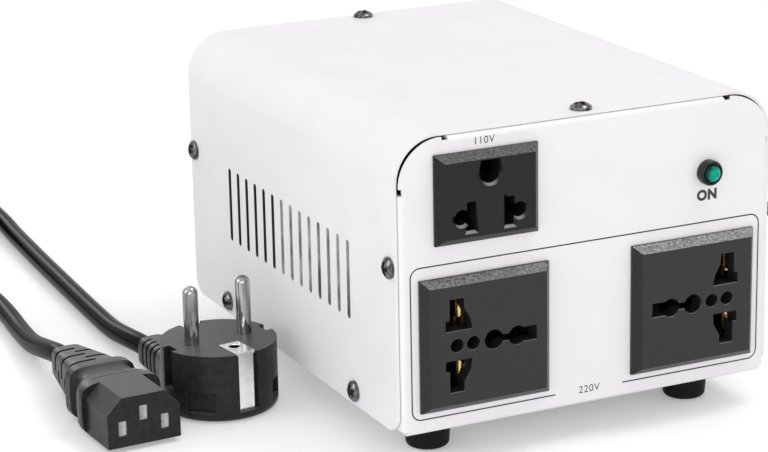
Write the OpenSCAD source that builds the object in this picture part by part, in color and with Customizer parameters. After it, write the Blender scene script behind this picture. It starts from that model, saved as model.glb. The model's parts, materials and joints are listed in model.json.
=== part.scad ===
// Bench voltage transformer: a folded steel case with three mains outlets and a pilot lamp,
// a rear panel with inlet, switch, selector and breaker, and a loose mains lead beside it.
// Millimetres. +X is right of the front panel, the front faces -Y, +Z is up.
// The origin lies under the middle of the case, on the surface that the feet stand on.

/* [Case] */
// Width over the cover
case_w = 128; // [124:1:140]
// Height of the case without its feet
case_h = 91; // [89:1:105]
// Depth from the front panel's face to the rear panel's face
case_d = 162; // [158:1:190]
// Thickness of the sheet steel
sheet_t = 1; // [0.8:0.1:1.4]
// Outer radius of the cover's two top folds
cover_r = 14; // [10:1:18]
// How far each end panel stands proud of the cover
panel_stand = 1.5; // [1:0.1:3]
// Gap between the cover and the chassis inside it
cover_gap = 0.2; // [0.1:0.05:0.4]
// Dark gap between a panel's round corner and the cover's fold
corner_gap = 0.8; // [0.3:0.1:1]
// Height of the cover's lower edge above the underside
cover_lift = 0.7; // [0.2:0.1:2]
// Radius of the cover's lower corners
cover_corner_r = 6; // [2:0.5:12]
// Outer radius of the chassis folds
fold_r = 1.6; // [1.5:0.1:2.4]
// Depth of the flanges round each end panel
flange_d = 12; // [9:1:16]
// Height of the flanges along the base
base_flange_h = 12; // [9:1:20]
// Length of the relief notches at the ends of the folds
relief_l = 2.2; // [1.4:0.1:4]
// Depth of the relief notches
relief_d = 1; // [0.8:0.1:1.4]

/* [Vents] */
// Slots in each side of the cover
vent_count = 14; // [6:1:16]
// Distance from slot to slot
vent_pitch = 7.1; // [5:0.1:8]
// Width of a slot
vent_w = 2.2; // [1:0.1:3]
// Length of a slot
vent_h = 24.8; // [10:0.2:36]
// Distance of the first slot from the front panel
vent_in = 34; // [24:1:44]
// Height of the slots' middle above the underside
vent_z = 40; // [30:1:55]

/* [Fasteners] */
// Diameter of the cover screws
screw_d = 3; // [2.5:0.5:4]
// Head diameter of the cover screws
screw_head_d = 6.6; // [5:0.2:7]
// Head height of the cover screws
screw_head_h = 2.2; // [1.6:0.1:2.6]
// Length of the cover screws under the head
screw_l = 6; // [4:0.5:8]
// Distance of the upper side screws from an end panel
side_screw_in = 4.9; // [4.6:0.1:7]
// Height of the upper side screws above the underside
side_screw_z = 51.6; // [20:0.2:66]
// Distance of the top screws from an end panel
top_screw_in = 5.4; // [4.6:0.1:8]
// Distance of the lower side screws from an end panel
low_screw_in = 31; // [20:1:50]
// Height of the lower side screws above the underside
low_screw_z = 5.2; // [4.4:0.2:8]
// Diameter of the feet, bracket and stud screws
bolt_d = 4; // [3:0.5:4]
// Head diameter of these screws
bolt_head_d = 7.6; // [6:0.2:8]
// Head height of these screws
bolt_head_h = 2.6; // [2:0.1:3]
// Nut height for these screws
nut_h = 3; // [2:0.2:4]
// Running gap round a screw in a plain hole
screw_gap = 0.2; // [0.1:0.05:0.3]

/* [Feet] */
// Height of a rubber foot
foot_h = 11; // [9:0.5:16]
// Diameter of a foot at its top
foot_d = 15; // [13:0.5:20]
// Diameter of a foot at its bottom
foot_low_d = 13.4; // [12:0.2:18]
// Radius of a foot's lower edge
foot_edge_r = 1.4; // [0.5:0.1:1.6]
// Distance of the feet from the sides of the case
foot_in_x = 18.4; // [14:0.2:24]
// Distance of the feet from the end panels
foot_in_y = 19; // [18:1:23]

/* [Outlets] */
// Width of a universal outlet's face
uni_w = 43; // [42:0.5:46]
// Height of a universal outlet's face
uni_h = 41; // [38:0.5:43]
// Distance of each universal outlet's middle from its side of the case
uni_in = 28.2; // [26:0.1:30]
// Height of the universal outlets' middle above the underside
uni_z = 27.3; // [25:0.1:29]
// Width of the flat-pin outlet's face
flat_w = 34; // [33:0.5:40]
// Height of the flat-pin outlet's face
flat_h = 27.3; // [26:0.1:29]
// Distance of the flat-pin outlet's middle from the left side of the case
flat_in = 29; // [26:0.1:34]
// Distance of the flat-pin outlet's middle from the top of the case
flat_down = 19.8; // [19:0.1:23]
// How far an outlet's face stands proud of the panel
outlet_rise = 3.6; // [2:0.2:4.4]
// Straight edge of the face before its bevel starts
outlet_lip = 1; // [0.4:0.1:1.6]
// Width of the bevel round the face
outlet_bevel = 2.2; // [1:0.1:3]
// Width of the shoulder that seats on the panel
outlet_shoulder = 2.2; // [1.6:0.1:3]
// Depth of an outlet behind the panel's face
outlet_depth = 20; // [18:1:24]
// Wall of an outlet's rear box
outlet_wall = 1.6; // [1.2:0.1:2]
// Gap between an outlet and its hole in the panel
outlet_gap = 0.15; // [0.1:0.05:0.3]

/* [Lamp] */
// Distance of the lamp from the right side of the case
lamp_in = 22.9; // [18:0.1:30]
// Distance of the lamp from the top of the case
lamp_down = 23.6; // [19:0.2:31]
// Diameter of the lamp's dome
lamp_d = 5.6; // [4:0.1:6]
// Diameter of the bezel
bezel_d = 7.8; // [7.6:0.1:10]
// How far the bezel stands proud of the panel
bezel_rise = 3; // [2.4:0.1:3.4]
// How far the dome stands proud of the panel
lamp_rise = 4.8; // [4.6:0.1:8]

/* [Transformer] */
// Distance of the core from the front panel's face
core_front = 42.1; // [40:0.1:48]
// Distance of the core from the rear panel's face
core_rear = 34.1; // [34:0.1:44]
// Thickness of the stack of laminations
core_stack = 46; // [30:1:52]
// Wall of the bobbin
bobbin_t = 1.5; // [1:0.1:2]
// How far the winding stands out past the stack
winding_out = 12.5; // [8:0.5:14]
// Thickness of the angle brackets
bracket_t = 2; // [1.5:0.1:3]
// Width of a bracket's foot
bracket_foot = 15; // [13:0.5:18]

/* [Rear panel] */
// Distance of the inlet's middle from its side of the case
inlet_in = 34; // [32:1:36]
// Height of the inlet's middle above the underside
inlet_z = 26; // [22:1:34]
// Distance of the switch's middle from its side of the case
switch_in = 46; // [42:1:50]
// Height of the switch above the underside
switch_z = 26; // [24:1:34]
// Tilt of the rocker to each side
rocker_tilt = 11; // [6:1:13]
// Distance of the breaker's middle from its side of the case
breaker_in = 20; // [18:1:24]
// Height of the breaker above the underside
breaker_z = 26; // [24:1:34]
// How far the breaker's button stands proud of the panel
breaker_rise = 5.6; // [5.4:0.2:9]
// Diameter of the breaker's button
breaker_button_d = 5.6; // [4:0.2:6]
// Travel of the breaker's button
breaker_travel = 3.5; // [2:0.5:4]
// Distance of the selector's middle from the top of the case
selector_down = 29; // [23:1:37]
// Travel of the selector's slider
selector_travel = 5; // [4:0.5:6]

/* [Lead] */
// Diameter of the lead
cord_d = 6.8; // [6:0.1:7.2]
// Gap between the case and the plug
lead_clear = 5.5; // [4:0.5:30]
// Diameter of the plug's body
plug_d = 37; // [36:0.2:38]
// Thickness of the plug's body
plug_h = 22; // [20:0.5:26]
// Length of a plug pin
pin_l = 19; // [18:0.2:20]
// Diameter of a plug pin
pin_d = 4.8; // [4:0.1:5]
// Distance between the plug's pins
pin_gap = 19; // [18.4:0.1:19.6]

/* [Hidden] */
$fn = 48;

// Small working values: overlap of a cut, room in a tight fit, reach of a long cut, thread past a nut
lap = 1;
touch = 0.02;
through = 50;
bolt_past = 1;

// Places of the case
y_front = -(case_d + breaker_rise - lamp_rise) / 2;
panel_w = case_w - 2 * sheet_t - 2 * cover_gap;
panel_h = case_h - sheet_t - cover_gap;
panel_corner_r = cover_r - sheet_t + corner_gap;
flange_top = panel_h - panel_corner_r;
flange_half = panel_w / 2 - panel_corner_r;
fold_top = flange_top - relief_l;
fold_half = flange_half - relief_l;

// Places of the pieces on the two panels, from the middle and from the underside
uni_x = case_w / 2 - uni_in;
flat_x = case_w / 2 - flat_in;
flat_z = case_h - flat_down;
lamp_x = case_w / 2 - lamp_in;
lamp_z = case_h - lamp_down;
inlet_x = case_w / 2 - inlet_in;
switch_x = case_w / 2 - switch_in;
breaker_x = case_w / 2 - breaker_in;
selector_z = case_h - selector_down;

// Places along the depth, measured from the front panel or from the rear one
function from_end(inset, rear) = rear ? case_d - inset : inset;

// Places of the case's own frame, and of pieces on its two panels
module in_case() translate([0, y_front, foot_h]) children();
module on_front(x, z) in_case() translate([x, 0, z]) children();
module on_rear(x, z) in_case() translate([x, case_d, z]) rotate([0, 0, 180]) children();

// Flat shapes drawn in X and Z and pushed back along Y, or drawn in Y and Z and centred along X
module along_y(l) translate([0, l, 0]) rotate([90, 0, 0]) linear_extrude(l) children();
module along_x(l) rotate([90, 0, 90]) linear_extrude(l, center = true) children();

module round_rect(w, h, r) {
    square([w - 2 * r, h], center = true);
    square([w, h - 2 * r], center = true);
    for (x = [-1, 1], y = [-1, 1])
        translate([x * (w / 2 - r), y * (h / 2 - r)]) circle(r);
}

// Upright outline with two round top corners
module arch(w, h, r) {
    translate([-w / 2, 0]) square([w, h - r]);
    translate([-w / 2 + r, 0]) square([w - 2 * r, h]);
    for (s = [-1, 1]) translate([s * (w / 2 - r), h - r]) circle(r);
}

// Section of a folded sheet with one leg along X and one along Y
module fold_section(leg_x, leg_y) {
    translate([fold_r, 0]) square([leg_x - fold_r, sheet_t]);
    translate([0, fold_r]) square([sheet_t, leg_y - fold_r]);
    intersection() {
        square(fold_r);
        translate([fold_r, fold_r]) difference() {
            circle(fold_r);
            circle(fold_r - sheet_t);
        }
    }
}

// Pan head with a cross recess, seated on Z = 0 with its shank below
pan_crown = 0.6;
cross_l = 0.64;
cross_t = 0.2;
cross_depth = 0.5;
module pan_screw(d, head_d, head_h, l) {
    crown_h = head_h * pan_crown;
    dome_r = (head_d * head_d / 4 + crown_h * crown_h) / (2 * crown_h);
    difference() {
        rotate_extrude() intersection() {
            translate([0, head_h - dome_r]) circle(dome_r);
            square([head_d / 2, head_h]);
        }
        for (a = [0, 90]) rotate(a)
            translate([-head_d * cross_l / 2, -head_d * cross_t / 2, head_h * (1 - cross_depth)])
                cube([head_d * cross_l, head_d * cross_t, head_h]);
    }
    translate([0, 0, -l]) cylinder(d = d, h = l);
}

nut_across = 1.95;
module hex_nut(d, h) difference() {
    cylinder(d = d * nut_across, h = h, $fn = 6);
    translate([0, 0, -lap]) cylinder(d = d + 2 * touch, h = h + 2 * lap);
}

// Case: cover, chassis, screws and feet

cover_l = case_d - 2 * panel_stand;

module vent_slot() {
    square([vent_w, vent_h - vent_w], center = true);
    for (s = [-1, 1]) translate([0, s * (vent_h - vent_w) / 2]) circle(d = vent_w);
}

module at_cover_screws() {
    for (rear = [false, true]) {
        translate([0, from_end(top_screw_in, rear), case_h]) children();
        for (s = [-1, 1]) {
            translate([s * case_w / 2, from_end(side_screw_in, rear), side_screw_z])
                rotate([0, s * 90, 0]) children();
            translate([s * case_w / 2, from_end(low_screw_in, rear), low_screw_z])
                rotate([0, s * 90, 0]) children();
        }
    }
}

// What is cut off a square corner to leave a round one
module corner_cut(r) difference() {
    square(r);
    translate([r, r]) circle(r);
}

module cover() color("whitesmoke") in_case() difference() {
    translate([0, panel_stand, 0]) along_y(cover_l) difference() {
        arch(case_w, case_h, cover_r);
        translate([0, -lap]) arch(case_w - 2 * sheet_t, case_h - sheet_t + lap, cover_r - sheet_t);
    }
    translate([-case_w, -lap, -lap]) cube([2 * case_w, case_d + 2 * lap, cover_lift + lap]);
    along_x(2 * case_w) {
        translate([panel_stand, cover_lift]) corner_cut(cover_corner_r);
        translate([case_d - panel_stand, cover_lift]) mirror([1, 0]) corner_cut(cover_corner_r);
        for (i = [0:vent_count - 1]) translate([vent_in + i * vent_pitch, vent_z]) vent_slot();
    }
    at_cover_screws() translate([0, 0, -2 * sheet_t])
        cylinder(d = screw_d + 2 * screw_gap, h = 4 * sheet_t);
}

module cover_screws() color("silver") in_case() at_cover_screws()
    pan_screw(screw_d, screw_head_d, screw_head_h, screw_l);

// One end panel, with its outer face on Y = 0: a flat sheet with folded flanges on three edges,
// round top corners left unfolded, and a notch where each fold stops
relief_r = 0.4;
module end_panel() {
    along_y(sheet_t) difference() {
        arch(panel_w, panel_h, panel_corner_r);
        translate([-panel_w / 2 - lap, -lap]) square([panel_w + 2 * lap, fold_r + lap]);
        translate([-fold_half, panel_h - fold_r]) square([2 * fold_half, 2 * fold_r]);
        for (s = [-1, 1]) {
            translate([s * panel_w / 2 - fold_r, -lap]) square([2 * fold_r, fold_top + lap]);
            translate([s * panel_w / 2, flange_top - relief_l / 2])
                round_rect(2 * relief_d, relief_l, relief_r);
            translate([s * (flange_half - relief_l / 2), panel_h])
                round_rect(relief_l, 2 * relief_d, relief_r);
        }
    }
    for (m = [0, 1]) mirror([m, 0, 0]) translate([-panel_w / 2, 0, fold_r])
        linear_extrude(fold_top - fold_r) fold_section(fold_r + lap, flange_d);
    along_x(2 * fold_half) translate([0, panel_h]) mirror([0, 1])
        fold_section(flange_d, fold_r + lap);
}

module folded_sheet() {
    end_panel();
    translate([0, case_d, 0]) mirror([0, 1, 0]) end_panel();
    translate([-panel_w / 2 + fold_r, fold_r, 0])
        cube([panel_w - 2 * fold_r, case_d - 2 * fold_r, sheet_t]);
    along_x(panel_w - 2 * fold_r) {
        fold_section(fold_r + lap, fold_r + lap);
        translate([case_d, 0]) mirror([1, 0]) fold_section(fold_r + lap, fold_r + lap);
    }
    flange_y = flange_d + fold_r + lap;
    for (m = [0, 1]) mirror([m, 0, 0]) translate([0, flange_y, 0]) along_y(case_d - 2 * flange_y)
        translate([-panel_w / 2, 0]) fold_section(fold_r + lap, base_flange_h);
}

module at_feet() for (s = [-1, 1], rear = [false, true])
    translate([s * (case_w / 2 - foot_in_x), from_end(foot_in_y, rear), 0]) children();

module outlet_hole(w, h) along_y(2 * sheet_t)
    square([w - 2 * (outlet_shoulder - outlet_gap), h - 2 * (outlet_shoulder - outlet_gap)], center = true);

module chassis() color("white") difference() {
    in_case() difference() {
        folded_sheet();
        at_cover_screws() translate([0, 0, -screw_l - lap])
            cylinder(d = screw_d + 2 * touch, h = screw_l + lap);
        at_feet() translate([0, 0, -lap]) cylinder(d = bolt_d + 2 * screw_gap, h = sheet_t + 2 * lap);
        at_bracket_screws() translate([0, 0, -lap])
            cylinder(d = bolt_d + 2 * screw_gap, h = sheet_t + 2 * lap);
        at_earth_stud() translate([0, 0, -lap]) cylinder(d = bolt_d + 2 * screw_gap, h = sheet_t + 2 * lap);
    }
    for (s = [-1, 1]) on_front(s * uni_x, uni_z) translate([0, -lap / 2, 0]) outlet_hole(uni_w, uni_h);
    on_front(-flat_x, flat_z) translate([0, -lap / 2, 0]) outlet_hole(flat_w, flat_h);
    on_front(lamp_x, lamp_z) rotate([-90, 0, 0]) translate([0, 0, -lap])
        cylinder(d = bezel_sleeve_d + 2 * touch, h = sheet_t + 2 * lap);
    on_rear(inlet_x, inlet_z) inlet_cutout();
    on_rear(-switch_x, switch_z) switch_cutout();
    on_rear(0, selector_z) selector_cutout();
    on_rear(-breaker_x, breaker_z) rotate([-90, 0, 0]) translate([0, 0, -lap])
        cylinder(d = breaker_bush_d + 2 * touch, h = sheet_t + 2 * lap);
}

// Each foot has a recess from below for its screw's head
foot_recess_room = 0.3;
foot_recess_d = bolt_head_d + 2 * foot_recess_room;
foot_recess_h = bolt_head_h + 4 * foot_recess_room;
module rubber_feet() color("dimgray") translate([0, y_front, 0]) at_feet() rotate_extrude() difference() {
    union() {
        polygon([
            [0, 0], [foot_low_d / 2 - foot_edge_r, 0], [foot_low_d / 2, foot_edge_r],
            [foot_d / 2, foot_h], [0, foot_h]
        ]);
        translate([foot_low_d / 2 - foot_edge_r, foot_edge_r]) circle(foot_edge_r);
    }
    translate([-foot_d, -lap]) square([foot_d + foot_recess_d / 2, foot_recess_h + lap]);
    translate([-foot_d, 0]) square([foot_d + bolt_d / 2 + screw_gap, foot_h + lap]);
}

foot_screw_l = foot_h - foot_recess_h + sheet_t + nut_h + bolt_past;
module foot_screws() color("gray") translate([0, y_front, foot_recess_h]) at_feet()
    rotate([180, 0, 0]) pan_screw(bolt_d, bolt_head_d, bolt_head_h, foot_screw_l);

module foot_nuts() color("silver") in_case() at_feet() translate([0, 0, sheet_t]) hex_nut(bolt_d, nut_h);

// Outlets: a bevelled face in front of the panel and an open box behind it, closed by a back plate
// that carries brass clips. Local frame: middle of the face, panel's outer face on Y = 0.

outlet_front_y = 1.4;
back_t = 2;
back_gap = 0.1;
latch_l = 8;
latch_rise = 0.9;
latch_reach = 4;

module bevel_profile(size) polygon([
    [-size / 2, 0], [size / 2, 0], [size / 2, -outlet_lip], [size / 2 - outlet_bevel, -outlet_rise],
    [-size / 2 + outlet_bevel, -outlet_rise], [-size / 2, -outlet_lip]
]);

module outlet_face(w, h) intersection() {
    linear_extrude(h, center = true) bevel_profile(w);
    rotate([0, 90, 0]) linear_extrude(w, center = true) bevel_profile(h);
}

// Snap latch behind the panel, on the box's side at X = 0, sloping back towards the box
module outlet_latch() linear_extrude(latch_l, center = true)
    polygon([
        [-lap, sheet_t], [latch_rise, sheet_t + touch], [0, sheet_t + latch_reach],
        [-lap, sheet_t + latch_reach]
    ]);

module outlet_box(w, h) {
    box_w = w - 2 * outlet_shoulder;
    box_h = h - 2 * outlet_shoulder;
    difference() {
        union() {
            outlet_face(w, h);
            along_y(outlet_depth) square([box_w, box_h], center = true);
            for (m = [0, 1]) mirror([m, 0, 0]) translate([box_w / 2, 0, 0]) outlet_latch();
        }
        translate([0, outlet_front_y, 0]) along_y(outlet_depth)
            square([box_w - 2 * outlet_wall, box_h - 2 * outlet_wall], center = true);
        children();
    }
}

module outlet_back_plate(w, h) translate([0, outlet_depth - back_t, 0]) along_y(back_t) square([
    w - 2 * outlet_shoulder - 2 * outlet_wall - 2 * back_gap,
    h - 2 * outlet_shoulder - 2 * outlet_wall - 2 * back_gap
], center = true);

// A pair of brass leaves on a web, with a solder tab through the back plate.
// The leaves stand gap apart along X and are as tall as height along Z. At the front each one flares
// outwards in a lip with round corners, as tall as lip_h.
leaf_t = 0.6;
leaf_front_gap = 0.3;
tab_w = 4;
tab_l = 6;
clip_room = 0.2;
uni_flare = 1.8;
flat_flare = 0.8;
lip_edge = 0.05;
clip_y = outlet_front_y + leaf_front_gap;
clip_back_y = outlet_depth - back_t;
module clip_leaf(gap, height, flare, lip_h) {
    linear_extrude(height, center = true)
        translate([gap / 2, clip_y + flare]) square([leaf_t, clip_back_y - clip_y - flare]);
    intersection() {
        linear_extrude(lip_h, center = true) translate([gap / 2 + flare, clip_y + flare]) difference() {
            circle(flare);
            circle(flare - leaf_t);
            translate([-flare, 0]) square(2 * flare);
            translate([0, -flare]) square(2 * flare);
        }
        translate([gap / 2, clip_y - lap, 0]) along_y(flare + 2 * lap)
            round_rect(2 * flare + 2 * lip_edge, lip_h, flare);
    }
}
module clip(gap, height, flare, lip_h) {
    for (m = [0, 1]) mirror([m, 0, 0]) clip_leaf(gap, height, flare, lip_h);
    translate([-gap / 2 - leaf_t, clip_back_y - leaf_t, -height / 2])
        cube([gap + 2 * leaf_t, leaf_t, height]);
    clip_tab(0);
}
module clip_tab(room) translate([-leaf_t / 2 - room, clip_back_y - lap, -tab_w / 2 - room])
    cube([leaf_t + 2 * room, back_t + tab_l + lap, tab_w + 2 * room]);

// Flat-pin outlet: two blade slots joined to round holes, and an earth hole with a flat top
blade_gap = 12.7;
blade_slot_w = 2.8;
blade_slot_h = 8.8;
blade_z = -5.2;
round_gap = 19;
round_d = 4.8;
flat_earth_w = 6.4;
flat_earth_z = 12.3;
flat_earth_top = 16.3;
flat_clip_x = 8.45;
flat_clip_gap = 7.4;
flat_room_h = flat_h - 2 * outlet_shoulder - 2 * outlet_wall;
flat_clip_h = flat_room_h + 2 * blade_z - 2 * clip_room;
flat_earth_clip_h = flat_room_h - 2 * (blade_z + flat_earth_z) - 2 * clip_room;

module flat_holes() translate([0, -outlet_rise - lap, 0])
    along_y(outlet_rise + outlet_front_y + 2 * lap) {
        for (s = [-1, 1]) translate([0, blade_z]) {
            translate([s * blade_gap / 2, 0]) square([blade_slot_w, blade_slot_h], center = true);
            translate([s * round_gap / 2, 0]) circle(d = round_d);
            translate([s * (blade_gap + round_gap) / 4, 0])
                square([(round_gap - blade_gap) / 2, round_d / 2], center = true);
        }
        translate([0, blade_z + flat_earth_z]) circle(d = flat_earth_w);
        translate([-flat_earth_w / 2, blade_z + flat_earth_z])
            square([flat_earth_w, flat_earth_top - flat_earth_z]);
    }

module at_flat_clips() {
    for (s = [-1, 1]) translate([s * flat_clip_x, 0, blade_z]) children(0);
    translate([0, 0, blade_z + flat_earth_z]) children(1);
}

module flat_outlet_body() color("#3a393b") on_front(-flat_x, flat_z)
    outlet_box(flat_w, flat_h) flat_holes();

module flat_outlet_back() color("#4a494b") on_front(-flat_x, flat_z) difference() {
    outlet_back_plate(flat_w, flat_h);
    at_flat_clips() {
        clip_tab(touch);
        clip_tab(touch);
    }
}

module flat_outlet_contacts() color("goldenrod") on_front(-flat_x, flat_z) at_flat_clips() {
    clip(flat_clip_gap, flat_clip_h, flat_flare, flat_clip_h);
    clip(flat_earth_w + 2 * clip_room, flat_earth_clip_h, flat_flare, flat_earth_clip_h);
}

// Universal outlet: two stepped openings that take upright, level, slanted and round pins,
// two small round holes, and an earth opening of two circles, a link and a slot.
// The pin line is the line through the middles of the two stepped openings.
pin_line_x = -10.7;
bar_slot_w = 4.6;
bar_slot_end = 14.4;
level_slot_low = 4.6;
level_slot_high = 7.9;
level_slot_out = 3.7;
slant_x = 4.9;
slant_in = 0.5;
slant_z = 11.6;
small_hole_d = 4.1;
small_hole_gap = 5.4;
earth_near_d = 6;
earth_near_x = 12.2;
earth_far_d = 5.8;
earth_far_x = 20;
earth_link_h = 2;
earth_slot_h = 4.4;
earth_slot_end = 26.5;
pin_clip_h = 10;
pin_clip_z = 9.6;
pin_lip_h = 6;
earth_clip_x = 19;
earth_clip_l = 15;
earth_lip_l = 13;

module stepped_opening() polygon([
    [-level_slot_out, level_slot_low], [slant_x, level_slot_low], [slant_x - slant_in, level_slot_high],
    [bar_slot_w / 2, slant_z], [bar_slot_w / 2, bar_slot_end], [-bar_slot_w / 2, bar_slot_end],
    [-bar_slot_w / 2, level_slot_high], [-level_slot_out, level_slot_high]
]);

module uni_holes() translate([pin_line_x, -outlet_rise - lap, 0])
    along_y(outlet_rise + outlet_front_y + 2 * lap) {
        for (m = [0, 1]) mirror([0, m]) stepped_opening();
        for (x = [0, small_hole_gap]) translate([x, 0]) circle(d = small_hole_d);
        translate([earth_near_x, 0]) circle(d = earth_near_d);
        translate([earth_far_x, 0]) circle(d = earth_far_d);
        translate([earth_near_x, -earth_link_h / 2]) square([earth_far_x - earth_near_x, earth_link_h]);
        translate([earth_far_x, -earth_slot_h / 2]) square([earth_slot_end - earth_far_x, earth_slot_h]);
    }

module at_uni_clips() {
    for (s = [-1, 1]) translate([pin_line_x, 0, s * pin_clip_z]) children(0);
    translate([pin_line_x + earth_clip_x, 0, 0]) rotate([0, 90, 0]) children(1);
}

module uni_body() color("#3a393b") outlet_box(uni_w, uni_h) uni_holes();

module uni_back() color("#4a494b") difference() {
    outlet_back_plate(uni_w, uni_h);
    at_uni_clips() {
        clip_tab(touch);
        clip_tab(touch);
    }
}

module uni_contacts() color("goldenrod") at_uni_clips() {
    clip(bar_slot_w + 2 * clip_room, pin_clip_h, uni_flare, pin_lip_h);
    clip(earth_near_d + 2 * clip_room, earth_clip_l, uni_flare, earth_lip_l);
}

// The right outlet is the left one turned upside down
module at_left_outlet() on_front(-uni_x, uni_z) children();
module at_right_outlet() on_front(uni_x, uni_z) rotate([0, 180, 0]) children();
module left_outlet_body() at_left_outlet() uni_body();
module left_outlet_back() at_left_outlet() uni_back();
module left_outlet_contacts() at_left_outlet() uni_contacts();
module right_outlet_body() at_right_outlet() uni_body();
module right_outlet_back() at_right_outlet() uni_back();
module right_outlet_contacts() at_right_outlet() uni_contacts();

// Pilot lamp: a bezel with a sleeve through the panel, a domed lens in it and a ring behind.
// Local frame turned so that Z points out of the panel.

bezel_wall = 0.7;
bezel_sleeve_d = lamp_d + 2 * bezel_wall;
bezel_sleeve_l = 8;
bezel_edge_r = 0.9;
bezel_well_w = 0.3;
bezel_well_d = 0.7;
lamp_dome_h = 2.2;
lamp_ring_h = 2;
lamp_ring_wall = 1.5;
lamp_base_l = 6;
module at_lamp() on_front(lamp_x, lamp_z) rotate([90, 0, 0]) children();

module lamp_bezel() color("#202421") at_lamp() difference() {
    rotate_extrude() {
        translate([0, -bezel_sleeve_l]) square([bezel_sleeve_d / 2, bezel_sleeve_l]);
        square([bezel_d / 2, bezel_rise - bezel_edge_r]);
        square([bezel_d / 2 - bezel_edge_r, bezel_rise]);
        translate([bezel_d / 2 - bezel_edge_r, bezel_rise - bezel_edge_r]) circle(bezel_edge_r);
    }
    translate([0, 0, -bezel_sleeve_l - lap])
        cylinder(d = lamp_d + 4 * touch, h = bezel_sleeve_l + bezel_rise + 2 * lap);
    translate([0, 0, bezel_rise - bezel_well_d]) cylinder(d = lamp_d + 2 * bezel_well_w, h = bezel_well_d + lap);
}

module lamp_lens() color("#0a8f68") at_lamp() {
    dome_r = (lamp_d * lamp_d / 4 + lamp_dome_h * lamp_dome_h) / (2 * lamp_dome_h);
    rotate_extrude() {
        translate([0, -lamp_base_l]) square([lamp_d / 2, lamp_base_l + lamp_rise - lamp_dome_h]);
        intersection() {
            translate([0, lamp_rise - dome_r]) circle(dome_r);
            square([lamp_d / 2, lamp_rise]);
        }
    }
}

module lamp_ring() color("#303030") at_lamp() translate([0, 0, -sheet_t - lamp_ring_h]) difference() {
    cylinder(d = bezel_sleeve_d + 2 * lamp_ring_wall, h = lamp_ring_h);
    translate([0, 0, -lap]) cylinder(d = bezel_sleeve_d + 2 * touch, h = lamp_ring_h + 2 * lap);
}

// Transformer: a stack of E and I laminations with a wound bobbin on its middle leg,
// held to the base by two angle brackets

core_l = case_d - core_front - core_rear;
core_y = core_front + core_l / 2;
core_leg = core_l / 6;
core_h = 5 * core_leg;
core_hole_in = core_leg / 2;
core_bolt_gap = 0.1;
bobbin_gap = 0.3;
bracket_below = 1.3;
bracket_screw_in = 12;
bracket_screw_room = 2.4;
bracket_h = core_leg - bracket_below;
bracket_screw_y = core_l / 2 - bracket_screw_in;
bracket_screw_x = core_stack / 2 + bracket_t + bolt_head_d / 2 + bracket_screw_room;
bobbin_h = 3 * core_leg - 2 * bobbin_gap;
winding_in = 0.5;
tape_r = 4;

module in_core() in_case() translate([0, core_y, sheet_t]) children();
module at_core_holes() for (y = [-1, 1], low = [true, false]) {
    $seat = core_stack / 2 + (low ? bracket_t : 0);
    translate([0, y * (core_l / 2 - core_hole_in), low ? core_hole_in : core_h - core_hole_in])
        rotate([0, 90, 0]) children();
}
module at_bracket_screws() translate([0, core_y, 0]) for (x = [-1, 1], y = [-1, 1])
    translate([x * bracket_screw_x, y * bracket_screw_y, 0]) children();

module transformer_core() color("slategray") in_core() difference() {
    along_x(core_stack) difference() {
        translate([-core_l / 2, 0]) square([core_l, core_h]);
        for (y = [-2 * core_leg, core_leg]) translate([y, core_leg]) square([core_leg, 3 * core_leg]);
    }
    at_core_holes() cylinder(d = bolt_d + 2 * core_bolt_gap, h = core_stack + 2 * lap, center = true);
}

// Rectangular tube round the middle leg with a flange at each end
bobbin_in_x = core_stack + 2 * bobbin_gap;
bobbin_in_y = 2 * core_leg + 2 * bobbin_gap;
winding_y = 4 * core_leg - 2 * bobbin_gap;
winding_x = core_stack + 2 * winding_out;
module bobbin_tube(grow) square([bobbin_in_x + 2 * grow, bobbin_in_y + 2 * grow], center = true);
module transformer_bobbin() color("darkolivegreen") in_core() translate([0, 0, core_leg + bobbin_gap])
    difference() {
        union() {
            for (z = [0, bobbin_h - bobbin_t]) translate([0, 0, z]) linear_extrude(bobbin_t)
                square([winding_x, winding_y], center = true);
            linear_extrude(bobbin_h) bobbin_tube(bobbin_t);
        }
        translate([0, 0, -lap]) linear_extrude(bobbin_h + 2 * lap) bobbin_tube(0);
    }

module transformer_winding() color("peru") in_core() translate([0, 0, core_leg + bobbin_gap + bobbin_t])
    linear_extrude(bobbin_h - 2 * bobbin_t) difference() {
        round_rect(winding_x - 2 * winding_in, winding_y - 2 * winding_in, tape_r);
        bobbin_tube(bobbin_t + touch);
    }

module transformer_brackets() color("lightgray") difference() {
    in_core() for (m = [0, 1]) mirror([m, 0, 0]) translate([core_stack / 2, -core_l / 2, 0]) {
        cube([bracket_t, core_l, bracket_h]);
        cube([bracket_foot, core_l, bracket_t]);
    }
    in_core() at_core_holes()
        cylinder(d = bolt_d + 2 * core_bolt_gap, h = core_stack + 4 * bracket_t, center = true);
    in_case() at_bracket_screws() cylinder(d = bolt_d + 2 * screw_gap, h = sheet_t + bracket_t + lap);
}

// Core bolts run through the stack, and the lower two through both brackets as well
module core_bolts() color("silver") in_core() at_core_holes() {
    translate([0, 0, $seat]) cylinder(d = bolt_d * nut_across, h = bolt_head_h, $fn = 6);
    translate([0, 0, -$seat - nut_h - bolt_past]) cylinder(d = bolt_d, h = 2 * $seat + nut_h + bolt_past);
}

module core_nuts() color("silver") in_core() at_core_holes()
    translate([0, 0, -$seat - nut_h]) hex_nut(bolt_d, nut_h);

module bracket_screws() color("silver") in_case() at_bracket_screws() rotate([180, 0, 0])
    pan_screw(bolt_d, bolt_head_d, bolt_head_h, sheet_t + bracket_t + nut_h + bolt_past);

module bracket_nuts() color("silver") in_case() at_bracket_screws()
    translate([0, 0, sheet_t + bracket_t]) hex_nut(bolt_d, nut_h);

// Rear panel. Each piece's local frame has the panel's outer face on Y = 0 and points out along -Y.

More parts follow.
